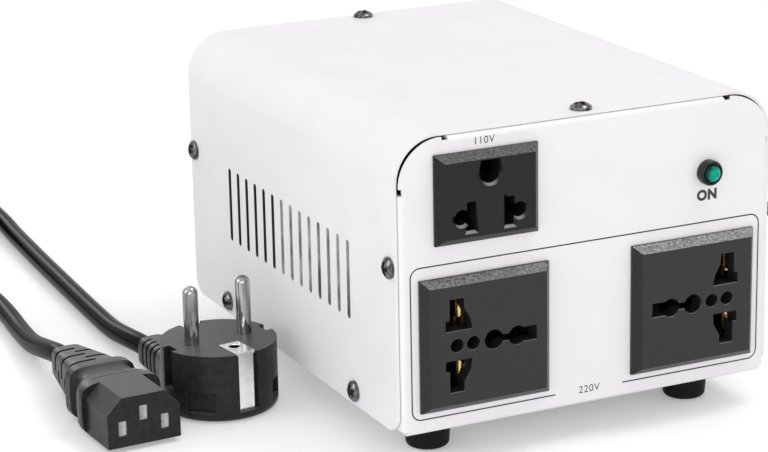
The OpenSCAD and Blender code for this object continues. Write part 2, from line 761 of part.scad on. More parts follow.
// Face of the lead's connector, which the inlet's recess takes with a gap all round
mate_w = 24;
mate_h = 15.8;
mate_cut = 5;
mate_l = 17;
mate_gap = 0.4;
mate_pin_x = 7;
mate_pin_z = 2;
module mate_outline(grow) {
    w = mate_w / 2 + grow;
    h = mate_h / 2 + grow;
    polygon([
        [-w, -h], [w, -h], [w, h - mate_cut], [w - mate_cut, h], [mate_cut - w, h], [-w, h - mate_cut]
    ]);
}
module at_mate_pins() {
    for (s = [-1, 1]) translate([s * mate_pin_x, 0, -mate_pin_z]) children();
    translate([0, 0, mate_pin_z]) children();
}

inlet_flange_w = 50;
inlet_flange_h = 23;
inlet_flange_t = 2.5;
inlet_flange_r = 4;
inlet_screw_gap = 40;
inlet_box_w = 28;
inlet_box_h = 20;
inlet_depth = 18;
inlet_recess = 16.5;
inlet_pin_w = 2;
inlet_pin_h = 4;
inlet_pin_l = 14.5;
inlet_tab_l = 6;
inlet_floor_y = inlet_recess - inlet_flange_t;
small_head_d = 5.6;
small_head_h = 1.9;
small_nut_h = 2.2;
module at_inlet_screws() for (s = [-1, 1]) translate([s * inlet_screw_gap / 2, 0, 0]) children();

module inlet_cutout() translate([0, -lap, 0]) along_y(sheet_t + 2 * lap) {
    square([inlet_box_w + 2 * outlet_gap, inlet_box_h + 2 * outlet_gap], center = true);
    for (s = [-1, 1]) translate([s * inlet_screw_gap / 2, 0]) circle(d = screw_d + 2 * screw_gap);
}

inlet_pin_y = inlet_floor_y - inlet_pin_l;
inlet_pin_end = inlet_depth + inlet_tab_l;
module inlet_pin(room) translate([-inlet_pin_w / 2 - room, inlet_pin_y, -inlet_pin_h / 2 - room])
    cube([inlet_pin_w + 2 * room, inlet_pin_end - inlet_pin_y, inlet_pin_h + 2 * room]);

module inlet_body() color("#202020") on_rear(inlet_x, inlet_z) difference() {
    union() {
        translate([0, -inlet_flange_t, 0]) along_y(inlet_flange_t)
            round_rect(inlet_flange_w, inlet_flange_h, inlet_flange_r);
        along_y(inlet_depth) square([inlet_box_w, inlet_box_h], center = true);
    }
    translate([0, -inlet_flange_t - lap, 0]) along_y(inlet_recess + lap) mate_outline(mate_gap);
    at_mate_pins() inlet_pin(touch);
    at_inlet_screws() rotate([90, 0, 0]) cylinder(d = screw_d + 2 * screw_gap, h = through, center = true);
}

module inlet_pins() color("silver") on_rear(inlet_x, inlet_z) at_mate_pins() inlet_pin(0);

inlet_screw_l = inlet_flange_t + sheet_t + small_nut_h + bolt_past;
module inlet_screws() color("silver") on_rear(inlet_x, inlet_z) at_inlet_screws()
    translate([0, -inlet_flange_t, 0]) rotate([90, 0, 0])
        pan_screw(screw_d, small_head_d, small_head_h, inlet_screw_l);

module inlet_nuts() color("silver") on_rear(inlet_x, inlet_z) at_inlet_screws() translate([0, sheet_t, 0])
    rotate([-90, 0, 0]) hex_nut(screw_d, small_nut_h);

// Rocker switch: the rocker turns about X on two stub pins in the housing's side walls
switch_bezel_w = 15;
switch_bezel_h = 21;
switch_bezel_t = 1.8;
switch_bezel_r = 1.2;
switch_box_w = 12.6;
switch_box_h = 19;
switch_depth = 14;
switch_tab_l = 6;
rocker_r = 8.4;
rocker_w = 10.2;
rocker_gap = 0.3;
rocker_face = 3;
rocker_back = 3;
rocker_room = 7;
pivot_y = 1;
pivot_r = 1.2;
pivot_gap = 0.05;
pivot_l = 11.8;
rocker_tip = rocker_face + rocker_r * tan(rocker_tilt);

module switch_cutout() translate([0, -lap, 0]) along_y(sheet_t + 2 * lap)
    square([switch_box_w + 2 * outlet_gap, switch_box_h + 2 * outlet_gap], center = true);

module switch_housing() color("#181818") on_rear(-switch_x, switch_z) {
    difference() {
        union() {
            translate([0, -switch_bezel_t, 0]) along_y(switch_bezel_t)
                round_rect(switch_bezel_w, switch_bezel_h, switch_bezel_r);
            along_y(switch_depth) square([switch_box_w, switch_box_h], center = true);
        }
        translate([0, -switch_bezel_t - lap, 0]) along_y(switch_bezel_t + rocker_room + lap)
            square([rocker_w + 2 * rocker_gap, 2 * (rocker_r + rocker_gap)], center = true);
        translate([0, pivot_y, 0]) rotate([0, 90, 0])
            cylinder(r = pivot_r + pivot_gap, h = pivot_l + 2 * rocker_gap, center = true);
    }
    for (z = [-1, 1]) translate([-tab_w / 2, switch_depth - touch, z * switch_box_h / 4 - leaf_t / 2])
        cube([tab_w, switch_tab_l, leaf_t]);
}

module switch_rocker() color("firebrick") on_rear(-switch_x, switch_z) translate([0, pivot_y, 0])
    rotate([-rocker_tilt, 0, 0]) {
        along_x(rocker_w) intersection() {
            circle(rocker_r);
            polygon([
                [-rocker_face, 0], [-rocker_tip, rocker_r], [rocker_back, rocker_r],
                [rocker_back, -rocker_r], [-rocker_tip, -rocker_r]
            ]);
        }
        rotate([0, 90, 0]) cylinder(r = pivot_r, h = pivot_l, center = true);
    }

// Voltage selector: a slider in a recessed slot, moved along X with a screwdriver
selector_w = 30;
selector_h = 14;
selector_t = 1.6;
selector_r = 2;
selector_screw_gap = 23;
selector_box_w = 19;
selector_box_h = 11;
selector_depth = 9;
selector_room = 7;
slider_w = 5;
slider_h = 6.4;
slider_base_w = 9;
slider_base_h = 8.6;
slider_gap = 0.3;
slider_sink = 0.3;
slider_slot_w = 1.2;
slider_slot_d = 0.7;
selector_screw_d = 2.5;
selector_head_d = 4.6;
selector_head_h = 1.6;
selector_screw_l = selector_t + sheet_t + bolt_past;

module at_selector_screws() for (s = [-1, 1]) translate([s * selector_screw_gap / 2, 0, 0]) children();

module selector_cutout() translate([0, -lap, 0]) along_y(sheet_t + 2 * lap) {
    square([selector_box_w + 2 * outlet_gap, selector_box_h + 2 * outlet_gap], center = true);
    for (s = [-1, 1]) translate([s * selector_screw_gap / 2, 0]) circle(d = selector_screw_d + 2 * touch);
}

module selector_housing() color("#181818") on_rear(0, selector_z) difference() {
    union() {
        translate([0, -selector_t, 0]) along_y(selector_t) round_rect(selector_w, selector_h, selector_r);
        along_y(selector_depth) square([selector_box_w, selector_box_h], center = true);
    }
    translate([0, -selector_t - lap, 0]) along_y(selector_t + 2 * lap)
        square([slider_w + selector_travel + 2 * slider_gap, slider_h + 2 * slider_gap], center = true);
    along_y(selector_room) square([
        slider_base_w + selector_travel + 2 * slider_gap, slider_base_h + 2 * slider_gap
    ], center = true);
    at_selector_screws() rotate([90, 0, 0])
        cylinder(d = selector_screw_d + 2 * screw_gap, h = through, center = true);
}

module selector_slider() color("firebrick") on_rear(0, selector_z) translate([-selector_travel / 2, 0, 0]) {
    difference() {
        translate([0, slider_sink - selector_t, 0]) along_y(selector_t + lap)
            square([slider_w, slider_h], center = true);
        translate([0, slider_sink - selector_t - lap, 0]) along_y(lap + slider_slot_d)
            square([slider_slot_w, slider_h + lap], center = true);
    }
    translate([0, slider_gap, 0]) along_y(selector_room - 2 * slider_gap)
        square([slider_base_w, slider_base_h], center = true);
}

module selector_screws() color("silver") on_rear(0, selector_z) at_selector_screws()
    translate([0, -selector_t, 0]) rotate([90, 0, 0])
        pan_screw(selector_screw_d, selector_head_d, selector_head_h, selector_screw_l);

// Thermal breaker: a threaded bush through the panel, a nut on it and a button that springs out
breaker_bush_d = 9.5;
breaker_bush_l = 3.6;
breaker_nut_h = 2.4;
breaker_nut_d = 14.5;
breaker_box_w = 13;
breaker_box_h = 22;
breaker_depth = 20;
breaker_gap = 0.25;
button_edge = 0.7;
// Sprung out, the button still reaches this far into the body
button_keep = 4.5;
button_in = breaker_travel + button_keep;
module at_breaker() on_rear(-breaker_x, breaker_z) rotate([90, 0, 0]) children();

module breaker_body() color("#202020") at_breaker() difference() {
    union() {
        translate([0, 0, -sheet_t - lap]) cylinder(d = breaker_bush_d, h = sheet_t + breaker_bush_l + lap);
        translate([-breaker_box_w / 2, -breaker_box_h / 2, -breaker_depth])
            cube([breaker_box_w, breaker_box_h, breaker_depth - sheet_t]);
        for (s = [-1, 1])
            translate([-tab_w / 2, s * breaker_box_h / 4 - leaf_t / 2, -breaker_depth - tab_l])
                cube([tab_w, leaf_t, tab_l + lap]);
    }
    translate([0, 0, -button_in - breaker_gap])
        cylinder(d = breaker_button_d + 2 * breaker_gap, h = button_in + breaker_rise + lap);
}

module breaker_nut() color("silver") at_breaker() difference() {
    cylinder(d = breaker_nut_d, h = breaker_nut_h, $fn = 6);
    translate([0, 0, -lap]) cylinder(d = breaker_bush_d + 2 * touch, h = breaker_nut_h + 2 * lap);
}

module breaker_button() color("ivory") at_breaker() rotate_extrude() polygon([
    [0, -button_in], [breaker_button_d / 2, -button_in], [breaker_button_d / 2, breaker_rise - button_edge],
    [breaker_button_d / 2 - button_edge, breaker_rise], [0, breaker_rise]
]);

// Earth stud through the base, near the inlet
earth_in_x = 14;
earth_in_y = 44;
earth_x = case_w / 2 - earth_in_x;
module at_earth_stud() translate([earth_x, case_d - earth_in_y, 0]) children();
module earth_stud() color("silver") in_case() at_earth_stud() rotate([180, 0, 0])
    pan_screw(bolt_d, bolt_head_d, bolt_head_h, sheet_t + 2 * nut_h + bolt_past);
module earth_nut() color("silver") in_case() at_earth_stud()
    translate([0, 0, sheet_t]) hex_nut(bolt_d, nut_h);

// Swept and lofted skins: a list of rings with the same number of points, capped at both ends
module skin(rings) {
    n = len(rings[0]);
    last = (len(rings) - 1) * n;
    sides = [
        for (i = [0:len(rings) - 2], k = [0:n - 1])
            let (a = i * n + k, b = i * n + (k + 1) % n) each [[a, b, b + n], [a, b + n, a + n]]
    ];
    ends = [for (k = [1:n - 2]) each [[0, k + 1, k], [last, last + k, last + k + 1]]];
    polyhedron([for (r = rings) each r], concat(sides, ends));
}

function unit(v) = v / norm(v);
function heading(path, i) = unit(path[min(i + 1, len(path) - 1)] - path[max(i - 1, 0)]);
function ring_at(c, t, r, n) =
    let (s = unit(cross(t, [0, 0, 1])), u = cross(s, t))
    [for (k = [0:n - 1]) c + r * (cos(360 * k / n) * s + sin(360 * k / n) * u)];
module tube(path, d, n)
    skin([for (i = [0:len(path) - 1]) ring_at(path[i], heading(path, i), d / 2, n)]);

// Loft along Y through sections, each a place along Y, a half width, a half height and a middle height.
// The lower the power, the squarer the sections.
loft_sides = 24;
function bulge(v, power) = sign(v) * pow(abs(v), power);
function section_ring(s, power) = [
    for (k = [0:loft_sides - 1]) let (a = 360 * k / loft_sides)
        [s[1] * bulge(cos(a), power), s[0], s[3] + s[2] * bulge(sin(a), power)]
];
module loft(sections, power) skin([for (s = sections) section_ring(s, power)]);

// Lead: everything below is measured from a point on the floor under the plug's middle
lead_x = -(case_w / 2 + lead_clear + plug_d / 2);
module in_lead() translate([lead_x, 0, 0]) children();

// Plug: lies on its back with its pins up. Local frame: the lead leaves along +Y.
plug_turn = 8;
plug_edge_r = 2.5;
plug_relief_y = 45;
plug_relief_z = 5.4;
plug_relief_r = 5;
pin_in = 8;
pin_root_d = 4.2;
guide_w = 5.2;
guide_d = 2.4;
guide_h = 13;
strip_w = 5.4;
strip_t = 0.9;
strip_low = 3;
groove_w = 7.4;
groove_d = 2.4;
neck_h = 12.4;
earth_plate_w = 7;
earth_plate_in = 6.2;
earth_hole_y = 10;
earth_hole_d = 5;
earth_hole_h = 15;
grip_w = 9;
grip_h = 7;
grip_d = 2;
grip_z = 3;
grip_turn = 48;
relief_grooves = 4;
relief_groove_in = 4;
relief_groove_pitch = 3.6;
relief_groove_w = 1.3;
relief_core = 8;
relief_spine = 4;
earth_lip = 0.7;

strip_y = plug_d / 2 - groove_d;
neck_power = 0.5;
neck_sections = [
    [8, plug_d / 2 - 2.1, 6.1, 6.2],
    [plug_d / 2 - 2, 12.6, 6.1, 6.2],
    [plug_d / 2 + 4, 9.7, 5.9, 6],
    [plug_d / 2 + 9, 7.6, 5.7, 5.8],
    [plug_relief_y, plug_relief_r, plug_relief_r, plug_relief_z]
];
module at_plug() in_lead() rotate([0, 0, plug_turn]) children();

module plug_body() color("#232324") at_plug() difference() {
    union() {
        rotate_extrude() {
            translate([0, plug_edge_r]) square([plug_d / 2, plug_h - plug_edge_r]);
            square([plug_d / 2 - plug_edge_r, plug_edge_r]);
            intersection() {
                translate([plug_d / 2 - plug_edge_r, plug_edge_r]) circle(plug_edge_r);
                square([plug_d / 2, plug_h]);
            }
        }
        loft(neck_sections, neck_power);
    }
    for (i = [0:relief_grooves - 1])
        translate([0, plug_relief_y - relief_groove_in - i * relief_groove_pitch, plug_relief_z])
            difference() {
                cube([plug_d, relief_groove_w, plug_d], center = true);
                cube([relief_core, 2 * relief_groove_w, relief_core], center = true);
                cube([relief_spine, 2 * relief_groove_w, 2 * plug_d], center = true);
            }
    for (s = [-1, 1]) {
        translate([s * pin_gap / 2, 0, plug_h - pin_in])
            cylinder(d = pin_root_d + 2 * touch, h = pin_in + lap);
        translate([s * plug_d / 2, 0, plug_h]) cube([2 * guide_d, guide_w, 2 * guide_h], center = true);
        rotate(s * grip_turn) translate([-grip_w / 2, -plug_d / 2 - lap, grip_z])
            cube([grip_w, grip_d + lap, grip_h]);
    }
    translate([-groove_w / 2, -plug_d / 2 - lap, strip_low]) cube([groove_w, groove_d + lap, plug_h]);
    translate([-groove_w / 2, strip_y, neck_h]) cube([groove_w, groove_d + lap, plug_h]);
    translate([-earth_plate_w / 2 - touch, -strip_y - lap, plug_h - strip_t])
        cube([earth_plate_w + 2 * touch, strip_y + lap - earth_plate_in, lap + strip_t]);
    translate([0, -earth_hole_y, plug_h - earth_hole_h]) cylinder(d = earth_hole_d, h = earth_hole_h + lap);
}

module plug_pins() color("silver") at_plug() for (s = [-1, 1])
    translate([s * pin_gap / 2, 0, plug_h - pin_in]) rotate_extrude() {
        square([pin_root_d / 2, pin_in + lap]);
        translate([0, pin_in]) square([pin_d / 2, pin_l - pin_d / 2]);
        intersection() {
            translate([0, pin_in + pin_l - pin_d / 2]) circle(d = pin_d);
            square([pin_d, pin_in + pin_l]);
        }
    }

// Spring strips in the two side grooves: the front one turns over the face to a plate with a hole
module plug_earth_strips() color("silver") at_plug() {
    difference() {
        union() {
            translate([-strip_w / 2, -strip_y - strip_t, strip_low])
                cube([strip_w, strip_t, plug_h - strip_low]);
            translate([-earth_plate_w / 2, -strip_y - strip_t, plug_h - strip_t])
                cube([earth_plate_w, strip_y + strip_t - earth_plate_in - touch, strip_t]);
        }
        translate([0, -earth_hole_y, plug_h - earth_hole_h])
            cylinder(d = earth_hole_d - 2 * earth_lip, h = earth_hole_h + lap);
    }
    translate([-strip_w / 2, strip_y, neck_h]) cube([strip_w, strip_t, plug_h - neck_h]);
}

// Connector: lies with its chamfered side up. Local frame: face on Y = 0, the lead leaves along +Y.
connector_at = [-35, -25, 0];
connector_turn = 3;
connector_z = 9.4;
connector_relief_y = 62;
connector_relief_r = 5.2;
connector_slot_w = 2.8;
connector_slot_h = 4.8;
connector_slot_l = 15;
contact_wall = 0.35;
contact_in = 0.6;
contact_l = 12;
leaf_reach = 0.9;
leaf_l = 1.8;
collar_y = mate_l + 15;
collar_l = 4;
flex_count = 5;
flex_pitch = 4.4;
flex_w = 1.7;
flex_in = 3;
flex_past = 0.8;
flex_reach = 10;
flex_core = 8;
mould_line_y = mate_l + 4.6;
mould_line_w = 0.5;
mould_line_l = 17;
mould_line_deep = 0.3;
flex_y = collar_y + collar_l + flex_in;
connector_top = connector_z + mate_h / 2;
// The shoulder is level with the nose on top and fills its chamfers, and the waist dips before the collar
connector_power = 0.42;
connector_sections = [
    [mate_l, 13.4, connector_top / 2 - 0.05, connector_top / 2 + 0.05],
    [mate_l + 1.5, 13.6, connector_top / 2 - 0.05, connector_top / 2 + 0.05],
    [mould_line_y, 13.2, connector_top / 2 - 0.05, connector_top / 2 + 0.05],
    [mate_l + 7.6, 11.7, 8.2, 8.7],
    [mate_l + 10, 10.3, 7.7, 8.8],
    [mate_l + 12.2, 9.7, 7.4, 9],
    [collar_y - 1, 9.9, 7.6, 9.1],
    [collar_y, 11.2, 8.6, 9],
    [collar_y + collar_l, 11.2, 8.6, 9],
    [collar_y + collar_l + 1, 9.4, 7.8, 9.2],
    [connector_relief_y, connector_relief_r, connector_relief_r, connector_z]
];

module at_connector() in_lead() translate(connector_at) rotate([0, 0, connector_turn]) children();
module connector_slot(room, y, l) translate([-connector_slot_w / 2 - room, y, -connector_slot_h / 2 - room])
    cube([connector_slot_w + 2 * room, l, connector_slot_h + 2 * room]);

// Slots of the flexible relief: each goes round two opposite corners and leaves the core
module flex_slots(side) difference() {
    for (s = [-1, 1]) translate([s * side * (flex_reach - flex_past), 0, s * (flex_reach - flex_past)])
        cube([2 * flex_reach, flex_w, 2 * flex_reach], center = true);
    cube([flex_core, 2 * flex_w, flex_core], center = true);
}

module connector_body() color("#232324") at_connector() difference() {
    union() {
        translate([0, 0, connector_z]) along_y(mate_l + lap) mate_outline(0);
        loft(connector_sections, connector_power);
    }
    translate([0, 0, connector_z]) at_mate_pins() connector_slot(0, -lap, connector_slot_l + lap);
    translate([-mould_line_l / 2, mould_line_y, connector_top - mould_line_deep])
        cube([mould_line_l, mould_line_w, connector_top]);
    for (i = [0:flex_count - 1]) translate([0, flex_y + i * flex_pitch, connector_z])
        flex_slots(i % 2 == 0 ? -1 : 1);
}

// Each contact is a sleeve, closed at its inner end, with a spring leaf that slants across it
module connector_contacts() color("silver") at_connector() translate([0, 0, connector_z])
    at_mate_pins() {
        difference() {
            connector_slot(-touch, contact_in, contact_l);
            connector_slot(-contact_wall, contact_in - lap, contact_l);
        }
        linear_extrude(connector_slot_h - contact_wall, center = true) polygon([
            [connector_slot_w / 2 - 2 * touch, contact_in],
            [connector_slot_w / 2 - 2 * touch, contact_in + 2 * contact_wall],
            [contact_wall - leaf_reach, contact_in + leaf_l], [-leaf_reach, contact_in + leaf_l]
        ]);
    }

// Route of the lead: straight out of each relief, along the floor, and into a round coil
coil_at = [-45, 255];
coil_turns = 3.5;
coil_across = 10.8;
coil_side_gap = 0.8;
coil_layer_gap = 0.6;
coil_lift = 1.4;
coil_climb = 0.5;
coil_rings = 24;
coil_sides = 6;
run_sides = 10;
stub_l = 8;
coil_pitch = cord_d + coil_side_gap;
coil_r_in = coil_across * cord_d / 2 - coil_turns * coil_pitch / 4;
coil_z = coil_lift + cord_d / 2;
coil_layer = cord_d + coil_layer_gap;

// The coil spirals in on the floor, climbs in the half turn where it reverses, and spirals out on top
function ease(t) = t <= 0 ? 0 : t >= 1 ? 1 : t * t * (3 - 2 * t);
function coil_r(t) = coil_r_in + coil_pitch * abs(t - coil_turns / 2);
function coil_height(t) = coil_z + coil_layer * ease(0.5 + (t - coil_turns / 2) / coil_climb);
function coil_point(t) = [
    coil_at[0] + coil_r(t) * cos(360 * t), coil_at[1] + coil_r(t) * sin(360 * t), coil_height(t)
];
coil_steps = coil_turns * coil_rings;
coil_first = coil_point(0);
coil_last = coil_point(coil_turns);
coil_path = concat(
    [coil_first - [0, cord_d, 0]],
    [for (i = [0:coil_steps]) coil_point(i / coil_rings)],
    [coil_last - [0, cord_d, 0]]
);

function turned(p, a) = [p[0] * cos(a) - p[1] * sin(a), p[0] * sin(a) + p[1] * cos(a), p[2]];
plug_exit = turned([0, plug_relief_y, plug_relief_z], plug_turn);
plug_stub = turned([0, plug_relief_y + stub_l, plug_relief_z], plug_turn);
plug_route = concat([plug_exit, plug_stub], [
    [-8.2, 62, 4.8], [-8.6, 76, 3.7], [-8.2, 94, 3.6], [-7.4, 114, 3.6], [-6.4, 136, 3.6], [-5.4, 158, 3.6],
    [-4.2, 180, 3.6], [-3, 200, 3.6], [-2, 216, 4]
], [coil_path[0] - [0, stub_l, 0], coil_path[0]]);

connector_exit = connector_at + turned([0, connector_relief_y, connector_z], connector_turn);
connector_stub = connector_at + turned([0, connector_relief_y + stub_l, connector_z], connector_turn);
coil_end = coil_path[len(coil_path) - 1];
connector_route = concat([connector_exit, connector_stub], [
    [-39, 56, 7.6], [-38.6, 72, 4.8], [-37, 90, 3.6], [-35.4, 109, 3.6], [-35, 127, 3.8], [-37.2, 145, 4.4],
    [-43.6, 164, 5.4], [-54.6, 184, 7.4], [-68, 204, 10.2], [-80, 222, 12]
], [coil_end - [0, stub_l, 0], coil_end]);

function length_of(path, i = 0) =
    i >= len(path) - 1 ? 0 : norm(path[i + 1] - path[i]) + length_of(path, i + 1);
function least_gap(path, skip) = min([
    for (i = [0:len(path) - 1], j = [0:len(path) - 1]) if (j > i + skip) norm(path[j] - path[i])
]) - cord_d;
echo(lead_length = length_of(plug_route) + length_of(coil_path) + length_of(connector_route));
echo(coil_least_gap = least_gap(coil_path, coil_rings / 2));

module lead_plug_run() color("#202020") in_lead() tube(plug_route, cord_d, run_sides);
module lead_connector_run() color("#202020") in_lead() tube(connector_route, cord_d, run_sides);
module lead_coil() color("#202020") in_lead() tube(coil_path, cord_d, coil_sides);

// Strap round the coil's far side
tie_t = 0.8;
tie_w = 10;
tie_gap = 0.5;
tie_side_gap = 0.9;
tie_r = 3;
tie_turn = 0.25;
tie_in_turn = 1.25;
tie_in_r = coil_r(tie_in_turn) - cord_d / 2 - tie_side_gap;
tie_out_r = coil_r(tie_turn) + cord_d / 2 + tie_side_gap;
tie_h = coil_layer + cord_d + 2 * tie_gap;
tie_y = coil_at[1] + (tie_in_r + tie_out_r) / 2;
module coil_tie() color("#303030") in_lead() translate([coil_at[0], tie_y, coil_z + coil_layer / 2])
    along_x(tie_w) difference() {
        round_rect(tie_out_r - tie_in_r + 2 * tie_t, tie_h + 2 * tie_t, tie_r);
        round_rect(tie_out_r - tie_in_r, tie_h, tie_r - tie_t);
    }

cover();
chassis();
cover_screws();
rubber_feet();
foot_screws();
foot_nuts();
flat_outlet_body();
flat_outlet_back();
flat_outlet_contacts();
left_outlet_body();
left_outlet_back();
left_outlet_contacts();
right_outlet_body();
right_outlet_back();
right_outlet_contacts();
lamp_bezel();
lamp_lens();
lamp_ring();
transformer_core();
transformer_bobbin();
transformer_winding();
transformer_brackets();
core_bolts();
core_nuts();
bracket_screws();
bracket_nuts();
inlet_body();
inlet_pins();
inlet_screws();
inlet_nuts();
switch_housing();
switch_rocker();
selector_housing();
selector_slider();
selector_screws();
breaker_body();
breaker_nut();
breaker_button();
earth_stud();
earth_nut();
connector_body();
connector_contacts();
plug_body();
plug_pins();
plug_earth_strips();
lead_connector_run();
lead_plug_run();
lead_coil();
coil_tie();
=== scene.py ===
import json
import math

import bmesh
import bpy
from mathutils import Matrix, Vector
from mathutils.bvhtree import BVHTree


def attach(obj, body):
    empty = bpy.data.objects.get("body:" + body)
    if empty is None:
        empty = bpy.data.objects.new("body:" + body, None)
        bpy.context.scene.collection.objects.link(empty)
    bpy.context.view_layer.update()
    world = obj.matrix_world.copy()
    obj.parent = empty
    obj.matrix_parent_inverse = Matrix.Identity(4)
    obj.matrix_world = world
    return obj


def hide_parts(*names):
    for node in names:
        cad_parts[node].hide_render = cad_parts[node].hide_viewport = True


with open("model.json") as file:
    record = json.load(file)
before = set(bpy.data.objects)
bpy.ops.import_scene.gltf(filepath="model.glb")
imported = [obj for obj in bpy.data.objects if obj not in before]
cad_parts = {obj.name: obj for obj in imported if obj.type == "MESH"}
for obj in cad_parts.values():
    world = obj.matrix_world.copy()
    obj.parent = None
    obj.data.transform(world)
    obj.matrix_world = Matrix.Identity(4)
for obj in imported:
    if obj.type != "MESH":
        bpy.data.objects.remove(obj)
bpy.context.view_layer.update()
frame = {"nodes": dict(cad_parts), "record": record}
nodes = frame["nodes"]
MM = 0.001

# Places shared with the part's source, in millimetres
FRONT_Y = -81.4
FOOT_H = 11.0
LEAD_X = -88.0
CORD_D = 6.8

# Solids that lie with the lead
LEAD_NODES = (
    "plug_body", "plug_pins", "plug_earth_strips",
    "connector_body", "connector_contacts", "coil_tie",
)


# Materials

# Sockets of the Mix node when it mixes colours
MIX_FACTOR, MIX_FROM, MIX_TO, MIX_RESULT = 0, 6, 7, 2
# Part of the noise's range that tones and roughness are spread over
NOISE_LOW, NOISE_HIGH = 0.3, 0.7
TONE_DETAIL, GRAIN_DETAIL = 4.0, 2.0
# Depths of the bump in the finishes, in metres
FINE, MOULD, COARSE, WEAVE = 0.00002, 0.00003, 0.00006, 0.0001


def add_node(tree, kind, **values):
    """A new node with the values on its sockets, or on the node where it has no such socket."""
    node = tree.nodes.new(kind)
    for key, value in values.items():
        if key in node.inputs:
            node.inputs[key].default_value = value
        else:
            setattr(node, key, value)
    return node


def noise_node(tree, coords, scale, detail, stretch):
    """Noise over the object's own metres, finer along an axis where the stretch is above 1."""
    source = coords.outputs["Object"]
    if stretch:
        mapping = add_node(tree, "ShaderNodeMapping")
        mapping.inputs["Scale"].default_value = stretch
        tree.links.new(source, mapping.inputs["Vector"])
        source = mapping.outputs["Vector"]
    noise = add_node(tree, "ShaderNodeTexNoise", Scale=scale, Detail=detail)
    tree.links.new(source, noise.inputs["Vector"])
    return noise


def mapped(tree, source, low, high, to_low, to_high):
    """The source, carried over from one range to another."""
    spread = add_node(tree, "ShaderNodeMapRange")
    spread.inputs["From Min"].default_value = low
    spread.inputs["From Max"].default_value = high
    spread.inputs["To Min"].default_value = to_low
    spread.inputs["To Max"].default_value = to_high
    tree.links.new(source, spread.inputs["Value"])
    return spread.outputs["Result"]


def blended(tree, source, low, high, colour, other):
    """The colour, turned into the other one as the source goes from low to high."""
    mix = add_node(tree, "ShaderNodeMix", data_type="RGBA")
    tree.links.new(mapped(tree, source, low, high, 0, 1), mix.inputs[MIX_FACTOR])
    tree.links.new(colour, mix.inputs[MIX_FROM])
    mix.inputs[MIX_TO].default_value = (*other, 1)
    return mix.outputs[MIX_RESULT]


def finish_material(name, dark, light, tone_scale, rough, grain_scale, bump, metal=0.0,
                    specular=0.5, ior=1.5, stretch=None, depth=FINE, fade=None, top=None, rim=None):
    """Mottled colour, uneven roughness and a fine bump, from noise in the object's own metres.

    fade: two places along Y, and the colour that the tone turns into from the first to the second.
    top: two upward parts of the normal, and the colour of the faces that look up by the second.
    rim: a middle, a radius, and the colour that the tone turns into from half of it to all of it.
    """
    material = bpy.data.materials.new(name)
    material.use_nodes = True
    tree = material.node_tree
    shader = tree.nodes["Principled BSDF"]
    shader.inputs["Metallic"].default_value = metal
    shader.inputs["Specular IOR Level"].default_value = specular
    shader.inputs["IOR"].default_value = ior
    coords = add_node(tree, "ShaderNodeTexCoord")
    tone = noise_node(tree, coords, tone_scale, TONE_DETAIL, stretch)
    ramp = add_node(tree, "ShaderNodeValToRGB")
    low, high = ramp.color_ramp.elements
    low.position = NOISE_LOW
    low.color = (*dark, 1)
    high.position = NOISE_HIGH
    high.color = (*light, 1)
    tree.links.new(tone.outputs["Fac"], ramp.inputs["Fac"])
    colour = ramp.outputs["Color"]
    if fade:
        start, end, other = fade
        split = add_node(tree, "ShaderNodeSeparateXYZ")
        tree.links.new(coords.outputs["Object"], split.inputs["Vector"])
        colour = blended(tree, split.outputs["Y"], start, end, colour, other)
    if top:
        start, end, other = top
        split = add_node(tree, "ShaderNodeSeparateXYZ")
        geometry = add_node(tree, "ShaderNodeNewGeometry")
        tree.links.new(geometry.outputs["Normal"], split.inputs["Vector"])
        colour = blended(tree, split.outputs["Z"], start, end, colour, other)
    if rim:
        middle, radius, other = rim
        away = add_node(tree, "ShaderNodeVectorMath", operation="DISTANCE")
        tree.links.new(coords.outputs["Object"], away.inputs[0])
        away.inputs[1].default_value = middle
        colour = blended(tree, away.outputs["Value"], radius / 2, radius, colour, other)
    tree.links.new(colour, shader.inputs["Base Color"])
    grain = noise_node(tree, coords, grain_scale, GRAIN_DETAIL, stretch)
    uneven = mapped(tree, grain.outputs["Fac"], NOISE_LOW, NOISE_HIGH, *rough)
    tree.links.new(uneven, shader.inputs["Roughness"])
    relief = add_node(tree, "ShaderNodeBump", Strength=bump, Distance=depth)
    tree.links.new(grain.outputs["Fac"], relief.inputs["Height"])
    tree.links.new(relief.outputs["Normal"], shader.inputs["Normal"])
    return material


# Depths behind the front panel, in millimetres, over which the outlets' brass is painted from
# bright to dark, a painted shade deeper in the openings
LIP_IN, DEEP_IN = 2.0, 7.5
BRASS_SHADE_DEPTHS = ((FRONT_Y + LIP_IN) * MM, (FRONT_Y + DEEP_IN) * MM)
# Reach of the lamp's dome in front of the panel, in millimetres
LAMP_OUT = 4.6
# Place of the painted highlight on the dome, a little to the right of its tip, and how far it
# reaches before the dome turns to painted shade towards its edge, in metres
LENS_HIGHLIGHT_AT = (0.0416, (FRONT_Y - LAMP_OUT) * MM, 0.0781)
LENS_HIGHLIGHT_SPREAD = 0.0031
# Upward parts of the normal between which the rims and the moulded lead ends get a painted
# highlight from above
RIM_HIGHLIGHT_UP = (0.48, 0.72)
MOULDED_HIGHLIGHT_UP = (0.5, 1.0)
# Tones of the two kinds of outlet
OUTLET_TONES = {"dark": (0.012, 0.0112, 0.0125), "light": (0.023, 0.022, 0.0235)}
FLAT_TONES = {"dark": (0.006, 0.0056, 0.006), "light": (0.013, 0.0125, 0.013)}

